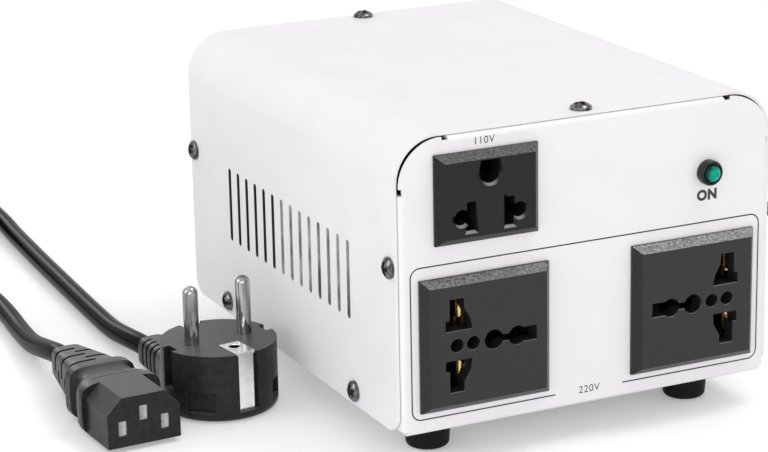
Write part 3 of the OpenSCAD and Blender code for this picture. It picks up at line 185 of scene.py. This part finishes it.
CASE = finish_material(
    "powder_coat", dark=(0.80, 0.782, 0.80), light=(0.83, 0.812, 0.83), tone_scale=60,
    rough=(0.4, 0.5), grain_scale=1500, bump=0.25)
# Dark plating of the screws, whose mottled dark patches are painted reflections
SCREW = finish_material(
    "dark_plating_painted_reflection", dark=(0.015, 0.015, 0.017), light=(0.25, 0.25, 0.258), tone_scale=800,
    rough=(0.12, 0.24), grain_scale=2500, bump=0.2, metal=1.0)
# Painted shade for the walls and floors of the screws' cross recesses
RECESS_SHADE = finish_material(
    "screw_recess_shade", dark=(0.006, 0.006, 0.007), light=(0.016, 0.016, 0.017), tone_scale=800,
    rough=(0.3, 0.5), grain_scale=2500, bump=0.2, specular=0.3)
ZINC = finish_material(
    "zinc_plating", dark=(0.5, 0.51, 0.52), light=(0.66, 0.67, 0.68), tone_scale=400,
    rough=(0.28, 0.42), grain_scale=2500, bump=0.2, metal=1.0)
RUBBER = finish_material(
    "foot_rubber", dark=(0.003, 0.003, 0.004), light=(0.007, 0.007, 0.008), tone_scale=500,
    rough=(0.5, 0.7), grain_scale=2500, bump=0.5, specular=0.15)
OUTLET = finish_material(
    "outlet_plastic", **OUTLET_TONES, tone_scale=1800,
    rough=(0.26, 0.44), grain_scale=1900, bump=1.0, depth=COARSE, specular=0.36)
FLAT = finish_material(
    "flat_outlet_plastic", **FLAT_TONES, tone_scale=1800,
    rough=(0.28, 0.44), grain_scale=1900, bump=1.0, depth=COARSE, specular=0.24)
# Finishes of the outlets' bevels: grain with a painted highlight on the upper bevels, stronger on
# the right outlet, and painted shade on the left bevels
GRAIN_HIGHLIGHT = finish_material(
    "bevel_grain_highlight", dark=(0.006, 0.0058, 0.0062), light=(0.22, 0.216, 0.224), tone_scale=1300,
    rough=(0.35, 0.55), grain_scale=1900, bump=1.0, depth=COARSE)
GRAIN_STRONG_HIGHLIGHT = finish_material(
    "bevel_grain_strong_highlight", dark=(0.04, 0.039, 0.04), light=(0.33, 0.325, 0.335), tone_scale=1300,
    rough=(0.35, 0.55), grain_scale=1900, bump=1.0, depth=COARSE)
FLAT_GRAIN_HIGHLIGHT = finish_material(
    "flat_bevel_grain_highlight", dark=(0.008, 0.0076, 0.008), light=(0.11, 0.107, 0.112), tone_scale=1300,
    rough=(0.35, 0.55), grain_scale=1900, bump=1.0, depth=COARSE, specular=0.3)
SIDE_SHADE = finish_material(
    "bevel_side_shade", dark=(0.0095, 0.009, 0.0098), light=(0.0185, 0.0178, 0.019), tone_scale=1800,
    rough=(0.28, 0.44), grain_scale=1900, bump=1.0, depth=COARSE, specular=0.3)
# Rims of the openings, whose upward faces carry a painted highlight from above
FLAT_RIM = finish_material(
    "flat_rim", **FLAT_TONES, tone_scale=1800, rough=(0.28, 0.44), grain_scale=1900, bump=0.6,
    specular=0.24, top=(*RIM_HIGHLIGHT_UP, (0.24, 0.237, 0.24)))
RIM = finish_material(
    "rim", **OUTLET_TONES, tone_scale=1800, rough=(0.28, 0.44), grain_scale=1900, bump=0.6,
    specular=0.36, top=(*RIM_HIGHLIGHT_UP, (0.085, 0.083, 0.085)))
BACK = finish_material(
    "inner_plastic", dark=(0.006, 0.006, 0.006), light=(0.012, 0.012, 0.012), tone_scale=600,
    rough=(0.5, 0.65), grain_scale=2000, bump=0.4, specular=0.3)
# Brass of the outlets' contacts, painted darker deeper in as painted shade
BRASS = finish_material(
    "contact_brass", dark=(0.66, 0.45, 0.16), light=(0.92, 0.7, 0.34), tone_scale=500,
    rough=(0.2, 0.34), grain_scale=2000, bump=0.2, metal=1.0,
    fade=(*BRASS_SHADE_DEPTHS, (0.13, 0.075, 0.03)))
# Brass of the flat outlet's contacts, painted near black as painted shade in its openings, and
# darker still deeper in
SHADED_BRASS = finish_material(
    "shaded_brass", dark=(0.03, 0.022, 0.01), light=(0.06, 0.044, 0.02), tone_scale=500,
    rough=(0.4, 0.55), grain_scale=2000, bump=0.2, metal=1.0,
    fade=(*BRASS_SHADE_DEPTHS, (0.01, 0.008, 0.005)))
BEZEL = finish_material(
    "bezel_plastic", dark=(0.003, 0.007, 0.005), light=(0.007, 0.014, 0.011), tone_scale=900,
    rough=(0.22, 0.34), grain_scale=2500, bump=0.3, specular=0.3)
# Green lens, painted lighter at its painted highlight and darker towards its edge as painted shade
LENS = finish_material(
    "lamp_lens", dark=(0.0, 0.25, 0.165), light=(0.0, 0.45, 0.3), tone_scale=900,
    rough=(0.03, 0.06), grain_scale=1500, bump=0.02, ior=1.22,
    rim=(LENS_HIGHLIGHT_AT, LENS_HIGHLIGHT_SPREAD, (0.0, 0.03, 0.02)))
STEEL = finish_material(
    "core_steel", dark=(0.1, 0.105, 0.115), light=(0.2, 0.21, 0.23), tone_scale=300,
    rough=(0.35, 0.55), grain_scale=2000, bump=0.6, metal=1.0, stretch=(8, 1, 1))
BOBBIN = finish_material(
    "bobbin_nylon", dark=(0.05, 0.06, 0.045), light=(0.08, 0.095, 0.07), tone_scale=400,
    rough=(0.45, 0.6), grain_scale=2000, bump=0.3)
TAPE = finish_material(
    "winding_tape", dark=(0.5, 0.28, 0.03), light=(0.7, 0.44, 0.08), tone_scale=200,
    rough=(0.15, 0.3), grain_scale=900, bump=0.5)
REAR = finish_material(
    "rear_plastic", dark=(0.009, 0.009, 0.01), light=(0.018, 0.018, 0.019), tone_scale=900,
    rough=(0.38, 0.52), grain_scale=2600, bump=0.5, specular=0.4)
NICKEL = finish_material(
    "nickel", dark=(0.55, 0.545, 0.535), light=(0.74, 0.735, 0.725), tone_scale=350,
    rough=(0.1, 0.2), grain_scale=2200, bump=0.12, metal=1.0)
STRIP = finish_material(
    "earth_strip", dark=(0.8, 0.797, 0.79), light=(0.95, 0.947, 0.94), tone_scale=350,
    rough=(0.16, 0.28), grain_scale=2200, bump=0.12, metal=1.0)
# Chrome of the plug's pins, with painted dark and light reflections streaked along them
PIN = finish_material(
    "pin_chrome_painted_reflection", dark=(0.12, 0.118, 0.116), light=(0.62, 0.615, 0.605), tone_scale=500,
    rough=(0.07, 0.13), grain_scale=2200, bump=0.08, metal=1.0, stretch=(1, 1, 0.1))
TIN = finish_material(
    "tin_plating", dark=(0.42, 0.42, 0.42), light=(0.62, 0.62, 0.615), tone_scale=900,
    rough=(0.4, 0.55), grain_scale=2200, bump=0.2, metal=0.4)
ROCKER = finish_material(
    "rocker_red", dark=(0.4, 0.014, 0.012), light=(0.52, 0.024, 0.02), tone_scale=500,
    rough=(0.2, 0.3), grain_scale=2000, bump=0.2)
IVORY = finish_material(
    "button_ivory", dark=(0.68, 0.64, 0.54), light=(0.78, 0.75, 0.66), tone_scale=600,
    rough=(0.25, 0.4), grain_scale=2000, bump=0.25)
# Black moulding of the plug and connector, whose tops carry a painted highlight from above
MOULDED = finish_material(
    "moulded_black", dark=(0.012, 0.012, 0.0125), light=(0.023, 0.023, 0.024), tone_scale=500,
    rough=(0.3, 0.42), grain_scale=2600, bump=0.45, depth=MOULD, specular=0.3, ior=1.35,
    top=(*MOULDED_HIGHLIGHT_UP, (0.08, 0.078, 0.081)))
SHEATH = finish_material(
    "lead_sheath", dark=(0.003, 0.003, 0.0035), light=(0.006, 0.006, 0.0065), tone_scale=300,
    rough=(0.18, 0.26), grain_scale=2200, bump=0.2, specular=0.4, ior=1.12)
STRAP = finish_material(
    "strap_weave", dark=(0.012, 0.012, 0.013), light=(0.035, 0.035, 0.037), tone_scale=2600,
    rough=(0.7, 0.9), grain_scale=2600, bump=1.0, depth=WEAVE)
PRINT = finish_material(
    "panel_print", dark=(0.02, 0.02, 0.022), light=(0.045, 0.045, 0.047), tone_scale=2500,
    rough=(0.5, 0.65), grain_scale=2500, bump=0.2)
# Walls of the slots, bare and painted dark as painted shade
SLOT_WALL_SHADE = finish_material(
    "slot_wall_shade", dark=(0.012, 0.012, 0.013), light=(0.03, 0.03, 0.031), tone_scale=400,
    rough=(0.5, 0.7), grain_scale=2500, bump=0.3)
# Walls of the front eight slots, painted bright as painted light from inside
SLOT_WALL_PAINTED_LIGHT = finish_material(
    "slot_wall_painted_light", dark=(0.06, 0.06, 0.062), light=(0.8, 0.8, 0.8), tone_scale=90,
    rough=(0.5, 0.7), grain_scale=2500, bump=0.3, stretch=(1, 1.6, 1))


# Solids with their finish and rounded edges

# Material of each node and width of its rounded edges, in millimetres
DRESS = {
    "cover": (CASE, 0.25),
    "chassis": (CASE, 0.2),
    "cover_screws": (SCREW, 0.15),
    "rubber_feet": (RUBBER, 0.5),
    "foot_screws": (ZINC, 0.15),
    "foot_nuts": (ZINC, 0.25),
    "flat_outlet_body": (FLAT, 0.35),
    "flat_outlet_back": (BACK, 0.2),
    "flat_outlet_contacts": (SHADED_BRASS, 0.12),
    "left_outlet_body": (OUTLET, 0.35),
    "left_outlet_back": (BACK, 0.2),
    "left_outlet_contacts": (BRASS, 0.12),
    "right_outlet_body": (OUTLET, 0.35),
    "right_outlet_back": (BACK, 0.2),
    "right_outlet_contacts": (BRASS, 0.12),
    "lamp_bezel": (BEZEL, 0.2),
    "lamp_lens": (LENS, 0.1),
    "lamp_ring": (BACK, 0.2),
    "transformer_core": (STEEL, 0.3),
    "transformer_bobbin": (BOBBIN, 0.3),
    "transformer_winding": (TAPE, 0.5),
    "transformer_brackets": (ZINC, 0.3),
    "core_bolts": (ZINC, 0.25),
    "core_nuts": (ZINC, 0.25),
    "bracket_screws": (SCREW, 0.15),
    "bracket_nuts": (ZINC, 0.25),
    "inlet_body": (REAR, 0.3),
    "inlet_pins": (NICKEL, 0.3),
    "inlet_screws": (ZINC, 0.15),
    "inlet_nuts": (ZINC, 0.2),
    "switch_housing": (REAR, 0.3),
    "switch_rocker": (ROCKER, 0.35),
    "selector_housing": (REAR, 0.3),
    "selector_slider": (ROCKER, 0.25),
    "selector_screws": (ZINC, 0.12),
    "breaker_body": (REAR, 0.25),
    "breaker_nut": (NICKEL, 0.25),
    "breaker_button": (IVORY, 0.2),
    "earth_stud": (ZINC, 0.15),
    "earth_nut": (ZINC, 0.25),
    "connector_body": (MOULDED, 0.35),
    "connector_contacts": (TIN, 0.08),
    "plug_body": (MOULDED, 0.4),
    "plug_pins": (PIN, 0.2),
    "plug_earth_strips": (STRIP, 0.15),
    "coil_tie": (STRAP, 0.2),
}
BODIES = frame["record"]["behaviour"]["bodies"]
BODY_OF = {node: body for body, names in BODIES.items() for node in names}
# Least angle of an edge that is rounded and shaded as an edge
SHARP = math.radians(32)
# How strongly broad faces rule the shading beside their rounded edges
BROAD_WEIGHT = 90
BEVEL_SEGMENTS = 2
# Points of a mesh closer than this become one, in metres
WELD = 2e-6
# Neighbouring faces that differ by less than this become one
FLAT_ANGLE = math.radians(0.6)


def link(obj):
    """Puts the object in the scene."""
    bpy.context.scene.collection.objects.link(obj)
    return obj


def applied(obj):
    """Works the object's modifiers into its mesh."""
    graph = bpy.context.evaluated_depsgraph_get()
    mesh = bpy.data.meshes.new_from_object(obj.evaluated_get(graph))
    old = obj.data
    obj.modifiers.clear()
    obj.data = mesh
    bpy.data.meshes.remove(old)


def smooth(obj):
    """Smooth shading that leaves broad flat faces flat beside their rounded edges."""
    for polygon in obj.data.polygons:
        polygon.use_smooth = True
    obj.data.set_sharp_from_angle(angle=SHARP)
    weigh = obj.modifiers.new("normals", "WEIGHTED_NORMAL")
    weigh.mode = "FACE_AREA"
    weigh.weight = BROAD_WEIGHT
    weigh.keep_sharp = True
    applied(obj)


# Width of the moulded rims round an outlet's openings, in millimetres
RIM_OF = {"flat_outlet_body": 0.8, "left_outlet_body": 0.25, "right_outlet_body": 0.25}
# Parts of the normal that tell the front face, the walls of its openings and their upper walls
FACE_Y, WALL_Y, UPPER_WALL_Z = -0.99, 0.05, -0.3
# Places of an outlet's further materials in its list
GRAIN_HIGHLIGHT_INDEX, SIDE_SHADE_INDEX, RIM_INDEX = 1, 2, 3


def rimmed(work, width):
    """Chamfers the edges between the front face and its openings, apart from their upper walls."""
    rims = []
    for edge in work.edges:
        if len(edge.link_faces) == 2:
            face, wall = sorted(edge.link_faces, key=lambda side: side.normal.y)
            opening = face.normal.y < FACE_Y and abs(wall.normal.y) < WALL_Y
            if opening and wall.normal.z > UPPER_WALL_Z:
                rims.append(edge)
    made = bmesh.ops.bevel(
        work, geom=rims, offset=width * MM, offset_type="OFFSET", segments=1, profile=0.5,
        affect="EDGES", clamp_overlap=False)
    for face in made["faces"]:
        face.material_index = RIM_INDEX


def dressed(node, material, edge):
    """A copy of a solid with welded flat faces and rounded edges, standing for it."""
    mesh = nodes[node].data.copy()
    mesh.materials.clear()
    mesh.materials.append(material)
    work = bmesh.new()
    work.from_mesh(mesh)
    bmesh.ops.remove_doubles(work, verts=work.verts, dist=WELD)
    bmesh.ops.dissolve_limit(work, angle_limit=FLAT_ANGLE, verts=work.verts, edges=work.edges)
    if node in RIM_OF:
        rimmed(work, RIM_OF[node])
    work.to_mesh(mesh)
    work.free()
    obj = link(bpy.data.objects.new(node + "_skin", mesh))
    bevel = obj.modifiers.new("edges", "BEVEL")
    bevel.width = edge * MM
    bevel.segments = BEVEL_SEGMENTS
    bevel.limit_method = "ANGLE"
    bevel.angle_limit = SHARP
    bevel.use_clamp_overlap = True
    applied(obj)
    smooth(obj)
    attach(obj, BODY_OF[node])
    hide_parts(node)
    return obj


skins = {node: dressed(node, *look) for node, look in DRESS.items()}


# Painted shade in the screws' cross recesses

# Longest way across a recess and how far off a face the search for its walls starts, in metres
RECESS_ACROSS, RECESS_OFF = 0.0045, 0.0002
# A face with fewer open sides than this, of four, lies in a recess
OPEN_SIDES = 2
RECESS_SHADE_INDEX = 1


def darkened(obj):
    """Gives the walls and the floor of the cross recesses their dark material, a painted shade."""
    mesh = obj.data
    mesh.materials.append(RECESS_SHADE)
    work = bmesh.new()
    work.from_mesh(mesh)
    solids = BVHTree.FromBMesh(work)
    for face in work.faces:
        start = face.calc_center_median() + face.normal * RECESS_OFF
        aside = face.normal.orthogonal().normalized()
        across = face.normal.cross(aside)
        ways = (aside, -aside, across, -across)
        walls = [solids.ray_cast(start, way, RECESS_ACROSS)[0] for way in ways]
        facing = solids.ray_cast(start, face.normal, RECESS_ACROSS)[0]
        if facing or walls.count(None) < OPEN_SIDES:
            face.material_index = RECESS_SHADE_INDEX
    work.to_mesh(mesh)
    work.free()


for node in ("cover_screws", "inlet_screws", "selector_screws"):
    darkened(skins[node])


# Ventilation slots: their punched walls are bare, painted dark as painted shade, and in the front
# eight painted bright as painted light from inside

# Heights that the slots lie between, in metres
VENT_LOW, VENT_HIGH = 0.030, 0.072
# Where the slots with painted light end along Y, and a place within the cover's sides along X, in
# metres
VENT_PAINTED_LIGHT_Y, SIDE_IN = 0.006, 0.0625
# Largest part of the normal across the cover's side that a slot's wall has
VENT_WALL_X = 0.35
SLOT_SHADE_INDEX, SLOT_LIGHT_INDEX = 1, 2
cover_mesh = skins["cover"].data
cover_mesh.materials.append(SLOT_WALL_SHADE)
cover_mesh.materials.append(SLOT_WALL_PAINTED_LIGHT)
for face in cover_mesh.polygons:
    at_slots = abs(face.center.x) > SIDE_IN and VENT_LOW < face.center.z < VENT_HIGH
    if at_slots and abs(face.normal.x) < VENT_WALL_X:
        painted_light = face.center.y < VENT_PAINTED_LIGHT_Y
        face.material_index = SLOT_LIGHT_INDEX if painted_light else SLOT_SHADE_INDEX


# Bevels of the outlets: the upper ones are coarser and carry a painted highlight, stronger on the
# right outlet, and the left ones carry painted shade

# Parts of the normal and least area, in square metres, that tell a bevel and the way it looks
BEVEL_Y_LOW, BEVEL_Y_HIGH = -0.8, -0.4
BEVEL_WAY = 0.6
BEVEL_AREA = 2e-5
# Materials of the upper bevel with its painted highlight, the left bevel with painted shade on the
# universal outlets, and the rims of the openings
OUTLET_LOOKS = {
    "flat_outlet_body": (FLAT_GRAIN_HIGHLIGHT, FLAT, FLAT_RIM),
    "left_outlet_body": (GRAIN_HIGHLIGHT, SIDE_SHADE, RIM),
    "right_outlet_body": (GRAIN_STRONG_HIGHLIGHT, SIDE_SHADE, RIM),
}
for node, looks in OUTLET_LOOKS.items():
    outlet_mesh = skins[node].data
    for look in looks:
        outlet_mesh.materials.append(look)
    for face in outlet_mesh.polygons:
        if BEVEL_Y_LOW < face.normal.y < BEVEL_Y_HIGH and face.area > BEVEL_AREA:
            if face.normal.z > BEVEL_WAY:
                face.material_index = GRAIN_HIGHLIGHT_INDEX
            elif face.normal.x < -BEVEL_WAY:
                face.material_index = SIDE_SHADE_INDEX


# Lead: the same route as the solids, as one smooth tube, in millimetres

COIL_AT = (-45.0, 255.0)
COIL_TURNS = 3.5
COIL_ACROSS = 10.8
COIL_SIDE_GAP = 0.8
COIL_LAYER_GAP = 0.6
COIL_LIFT = 1.4
COIL_CLIMB = 0.5
COIL_PITCH = CORD_D + COIL_SIDE_GAP
COIL_LAYER = CORD_D + COIL_LAYER_GAP
COIL_Z = COIL_LIFT + CORD_D / 2
COIL_R_IN = COIL_ACROSS * CORD_D / 2 - COIL_TURNS * COIL_PITCH / 4
# Points for each turn of the coil, and distance of the points along the rest
COIL_RINGS = 96
ROUTE_STEP = 3.0
# Straight length at both ends of each run
STUB = 8.0


def ease(t):
    """Smooth step from 0 to 1."""
    t = min(max(t, 0.0), 1.0)
    return t * t * (3 - 2 * t)


def coil_point(t):
    """Place on the coil after so many turns: in on the floor, up one layer, and out on top."""
    past = t - COIL_TURNS / 2
    r = COIL_R_IN + COIL_PITCH * abs(past)
    a = 2 * math.pi * t
    z = COIL_Z + COIL_LAYER * ease(0.5 + past / COIL_CLIMB)
    return Vector((COIL_AT[0] + r * math.cos(a), COIL_AT[1] + r * math.sin(a), z))


def turned(y, z, degrees):
    """A place given by Y and Z, turned about Z."""
    a = math.radians(degrees)
    return Vector((-y * math.sin(a), y * math.cos(a), z))


def rounded_line(points, step):
    """Catmull-Rom line through the points, sampled about every step."""
    out = []
    for i in range(len(points) - 1):
        p0 = points[max(i - 1, 0)]
        p1, p2 = points[i], points[i + 1]
        p3 = points[min(i + 2, len(points) - 1)]
        count = max(2, round((p2 - p1).length / step))
        for k in range(count):
            t = k / count
            square = (2 * p0 - 5 * p1 + 4 * p2 - p3) * t ** 2
            cube = (3 * p1 - p0 - 3 * p2 + p3) * t ** 3
            out.append(0.5 * (2 * p1 + (p2 - p0) * t + square + cube))
    out.append(points[-1].copy())
    return out


# Turn of the plug and the connector on the floor, and the ends of their reliefs
PLUG_TURN, PLUG_RELIEF_Y, PLUG_RELIEF_Z = 8.0, 45, 5.4
CONNECTOR_TURN, CONNECTOR_RELIEF_Y, CONNECTOR_Z = 3.0, 62, 9.4
CONNECTOR_AT = Vector((-35, -25, 0))
PLUG_POINTS = (
    (-8.2, 62, 4.8), (-8.6, 76, 3.7), (-8.2, 94, 3.6), (-7.4, 114, 3.6), (-6.4, 136, 3.6),
    (-5.4, 158, 3.6), (-4.2, 180, 3.6), (-3, 200, 3.6), (-2, 216, 4),
)
CONNECTOR_POINTS = (
    (-39, 56, 7.6), (-38.6, 72, 4.8), (-37, 90, 3.6), (-35.4, 109, 3.6), (-35, 127, 3.8),
    (-37.2, 145, 4.4), (-43.6, 164, 5.4), (-54.6, 184, 7.4), (-68, 204, 10.2), (-80, 222, 12),
)
BEFORE_COIL = Vector((0, CORD_D, 0))
LEAD_IN = Vector((0, STUB, 0))
# The connector's run starts its last bend a little further in, to stay within the coil's width
LAST_BEND_IN = 0.95
LAST_IN = Vector((-LAST_BEND_IN, STUB, 0))

plug_exit = turned(PLUG_RELIEF_Y, PLUG_RELIEF_Z, PLUG_TURN)
plug_stub = turned(PLUG_RELIEF_Y + STUB, PLUG_RELIEF_Z, PLUG_TURN)
coil_first = coil_point(0) - BEFORE_COIL
plug_route = [plug_exit, plug_stub, *map(Vector, PLUG_POINTS), coil_first - LEAD_IN, coil_first]

connector_exit = CONNECTOR_AT + turned(CONNECTOR_RELIEF_Y, CONNECTOR_Z, CONNECTOR_TURN)
connector_stub = CONNECTOR_AT + turned(CONNECTOR_RELIEF_Y + STUB, CONNECTOR_Z, CONNECTOR_TURN)
coil_last = coil_point(COIL_TURNS) - BEFORE_COIL
connector_route = [connector_exit, connector_stub, *map(Vector, CONNECTOR_POINTS)]
connector_route += [coil_last - LAST_IN, coil_last]

line = rounded_line(plug_route, ROUTE_STEP)
line += [coil_point(i / COIL_RINGS) for i in range(int(COIL_RINGS * COIL_TURNS) + 1)]
line += reversed(rounded_line(connector_route, ROUTE_STEP))
line = [(p + Vector((LEAD_X, 0, 0))) * MM for p in line]

curve = bpy.data.curves.new("lead", "CURVE")
curve.dimensions = "3D"
curve.bevel_depth = CORD_D / 2 * MM
curve.bevel_resolution = 6
curve.use_fill_caps = True
spline = curve.splines.new("POLY")
spline.points.add(len(line) - 1)
for point, place in zip(spline.points, line):
    point.co = (*place, 1)
spline.use_smooth = True
curve.materials.append(SHEATH)
lead = link(bpy.data.objects.new("lead", curve))
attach(lead, "case")
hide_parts("lead_plug_run", "lead_connector_run", "lead_coil")


# Printed lines and marks on the front panel, in millimetres

PRINT_OFF = 0.03
PRINT_Y = FRONT_Y - PRINT_OFF


def printed(name, mesh):
    """Makes the mesh a print on the front panel."""
    mesh.materials.clear()
    mesh.materials.append(PRINT)
    obj = link(bpy.data.objects.new(name, mesh))
    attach(obj, "case")


def strip(name, points, width):
    """Flat printed line through points given as X and Z on the front panel."""
    work = bmesh.new()
    rows = []
    for i, p in enumerate(points):
        before = Vector(points[max(i - 1, 0)])
        after = Vector(points[min(i + 1, len(points) - 1)])
        along = (after - before).normalized()
        side = Vector((-along.y, along.x)) * width / 2
        row = []
        for q in (Vector(p) - side, Vector(p) + side):
            row.append(work.verts.new((q.x * MM, PRINT_Y * MM, (q.y + FOOT_H) * MM)))
        rows.append(row)
    for a, b in zip(rows, rows[1:]):
        work.faces.new((a[0], b[0], b[1], a[1]))
    bmesh.ops.recalc_face_normals(work, faces=work.faces)
    mesh = bpy.data.meshes.new(name)
    work.to_mesh(mesh)
    work.free()
    printed(name, mesh)


# Steps of a rounded corner of the printed line
CORNER_STEPS = 6


def corner(cx, cz, r, start):
    """Quarter circle round a middle, from a start in degrees."""
    turns = [math.radians(start + 90 * i / CORNER_STEPS) for i in range(CORNER_STEPS + 1)]
    return [(cx + r * math.cos(a), cz + r * math.sin(a)) for a in turns]


LINE_X, LINE_LOW, LINE_HIGH, LINE_R, LINE_GAP, LINE_W = 59.8, 4.7, 51.6, 3.0, 11.7, 0.42
outline = [(LINE_GAP, LINE_LOW)]
outline += corner(LINE_X - LINE_R, LINE_LOW + LINE_R, LINE_R, -90)
outline += corner(LINE_X - LINE_R, LINE_HIGH - LINE_R, LINE_R, 0)
outline += corner(LINE_R - LINE_X, LINE_HIGH - LINE_R, LINE_R, 90)
outline += corner(LINE_R - LINE_X, LINE_LOW + LINE_R, LINE_R, 180)
outline += [(-LINE_GAP, LINE_LOW)]
strip("outlet_frame_line", outline, LINE_W)

# Height of a capital letter as a share of the font's size, and spacing of the letters
CAPITAL = 0.7
LETTER_SPACE = 1.1


def mark(name, words, x, z, height, bold=0.0):
    """Flat printed lettering, centred at X and Z on the front panel."""
    text = bpy.data.curves.new(name + "_text", "FONT")
    text.body = words
    text.align_x = "CENTER"
    text.align_y = "CENTER"
    text.size = height / CAPITAL * MM
    text.offset = bold * MM
    text.space_character = LETTER_SPACE
    carrier = link(bpy.data.objects.new(name + "_text", text))
    bpy.context.view_layer.update()
    graph = bpy.context.evaluated_depsgraph_get()
    mesh = bpy.data.meshes.new_from_object(carrier.evaluated_get(graph))
    bpy.data.objects.remove(carrier)
    bpy.data.curves.remove(text)
    mesh.transform(Matrix.Rotation(math.radians(90), 4, "X"))
    mesh.transform(Matrix.Translation(Vector((x, PRINT_Y, z + FOOT_H)) * MM))
    printed(name, mesh)


mark("low_voltage_mark", "110V", x=-35.3, z=87.3, height=2.2)
mark("high_voltage_mark", "220V", x=0.0, z=4.7, height=2.3)
mark("lamp_mark", "ON", x=41.0, z=60.0, height=3.0, bold=0.24)


# Camera at the photograph's viewpoint, in metres and degrees

CAMERA_AT = (-0.37718, -0.73475, 0.29245)
YAW, PITCH, ROLL = 25.338, 16.590, -1.1335
FOCAL_MM, SENSOR_MM = 123.45, 36
CLIP_NEAR, CLIP_FAR = 0.05, 50


def aim(yaw, pitch, roll):
    """Turn of a camera from a look along Y: to the right, down and about its view."""
    y, p, r = (math.radians(v) for v in (yaw, pitch, roll))
    forward = Vector((math.sin(y) * math.cos(p), math.cos(y) * math.cos(p), -math.sin(p)))
    right = Vector((math.cos(y), -math.sin(y), 0))
    up = right.cross(forward)
    turned_right = math.cos(r) * right + math.sin(r) * up
    turned_up = -math.sin(r) * right + math.cos(r) * up
    return Matrix((turned_right, turned_up, -forward)).transposed().to_4x4()


camera_data = bpy.data.cameras.new("camera")
camera_data.lens = FOCAL_MM
camera_data.sensor_width = SENSOR_MM
camera_data.clip_start = CLIP_NEAR
camera_data.clip_end = CLIP_FAR
camera = link(bpy.data.objects.new("camera", camera_data))
camera.matrix_world = Matrix.Translation(CAMERA_AT) @ aim(YAW, PITCH, ROLL)
bpy.context.scene.camera = camera


# Floor and light

WHITE = (1, 1, 1, 1)
FLOOR_SIZE = 6.0
FLOOR_AT = (0, 0, -0.0002)
FLOOR_TONE = (0.88, 0.88, 0.88, 1)
FLOOR_ROUGH = 0.9
# Glow of the floor where it is seen, and strength of the world as light and where it is seen
FLOOR_GLOW = 0.2
WORLD_LIGHT, WORLD_SEEN = 0.72, 1.0


def seen_ray(tree):
    """1 for what the camera sees, straight or in a reflection, and 0 for light."""
    path = add_node(tree, "ShaderNodeLightPath")
    total = path.outputs["Is Camera Ray"]
    for name in ("Is Glossy Ray", "Is Transmission Ray"):
        pick = add_node(tree, "ShaderNodeMath", operation="MAXIMUM")
        tree.links.new(total, pick.inputs[0])
        tree.links.new(path.outputs[name], pick.inputs[1])
        total = pick.outputs[0]
    return total


floor_mesh = bpy.data.meshes.new("floor")
floor_work = bmesh.new()
bmesh.ops.create_grid(floor_work, x_segments=1, y_segments=1, size=FLOOR_SIZE)
floor_work.to_mesh(floor_mesh)
floor_work.free()
floor_material = bpy.data.materials.new("floor_white")
floor_material.use_nodes = True
floor_tree = floor_material.node_tree
floor_shader = floor_tree.nodes["Principled BSDF"]
floor_shader.inputs["Base Color"].default_value = FLOOR_TONE
floor_shader.inputs["Roughness"].default_value = FLOOR_ROUGH
floor_shader.inputs["Specular IOR Level"].default_value = 0.0
floor_shader.inputs["Emission Color"].default_value = WHITE
glow = add_node(floor_tree, "ShaderNodeMath", operation="MULTIPLY")
glow.inputs[1].default_value = FLOOR_GLOW
floor_tree.links.new(seen_ray(floor_tree), glow.inputs[0])
floor_tree.links.new(glow.outputs[0], floor_shader.inputs["Emission Strength"])
floor_mesh.materials.append(floor_material)
floor = link(bpy.data.objects.new("floor", floor_mesh))
floor.location = FLOOR_AT

world = bpy.data.worlds.new("studio")
bpy.context.scene.world = world
world.use_nodes = True
world_tree = world.node_tree
background = world_tree.nodes["Background"]
background.inputs["Color"].default_value = WHITE
strength = mapped(world_tree, seen_ray(world_tree), 0, 1, WORLD_LIGHT, WORLD_SEEN)
world_tree.links.new(strength, background.inputs["Strength"])


def area_light(name, place, target, size, power):
    """A soft rectangular light that looks from its place to its target."""
    data = bpy.data.lights.new(name, "AREA")
    data.shape = "RECTANGLE"
    data.size, data.size_y = size
    data.energy = power
    lamp = link(bpy.data.objects.new(name, data))
    lamp.location = place
    lamp.rotation_mode = "QUATERNION"
    lamp.rotation_quaternion = (Vector(target) - Vector(place)).to_track_quat("-Z", "Y")
    return lamp


def gathered(name, pieces):
    """A collection of pieces that a light is limited to."""
    collection = bpy.data.collections.new(name)
    for piece in pieces:
        collection.objects.link(piece)
    return collection


CASE_MIDDLE = (0, 0, 0.05)
area_light("key_light", place=(0.45, -0.25, 1.1), target=CASE_MIDDLE, size=(0.5, 0.5), power=3.6)
area_light("front_light", place=(-0.5, -1.4, 0.5), target=CASE_MIDDLE, size=(0.6, 0.6), power=4.5)
area_light(
    "low_light", place=(-0.9, -0.9, 0.2), target=(-0.064, -0.02, 0.03), size=(0.6, 0.3), power=1.2)

# The side light casts no shadow of the lead, whose plug would draw streaks on the side of the case
side_light = area_light(
    "side_light", place=(-1.4, 0.2, 0.7), target=CASE_MIDDLE, size=(0.8, 0.8), power=4.6)
case_skins = [skin for node, skin in skins.items() if node not in LEAD_NODES]
side_light.light_linking.blocker_collection = gathered("case_pieces", case_skins)

# A light from behind reaches only the lead and its ends, for the gloss along them
lead_light = area_light(
    "lead_light", place=(-0.12, 1.55, 0.68), target=(-0.12, 0.1, 0.0), size=(0.45, 0.35), power=2.4)
lead_and_ends = [lead, skins["plug_body"], skins["connector_body"]]
lead_light.light_linking.receiver_collection = gathered("lead_pieces", lead_and_ends)

bpy.context.scene.view_settings.view_transform = "Standard"
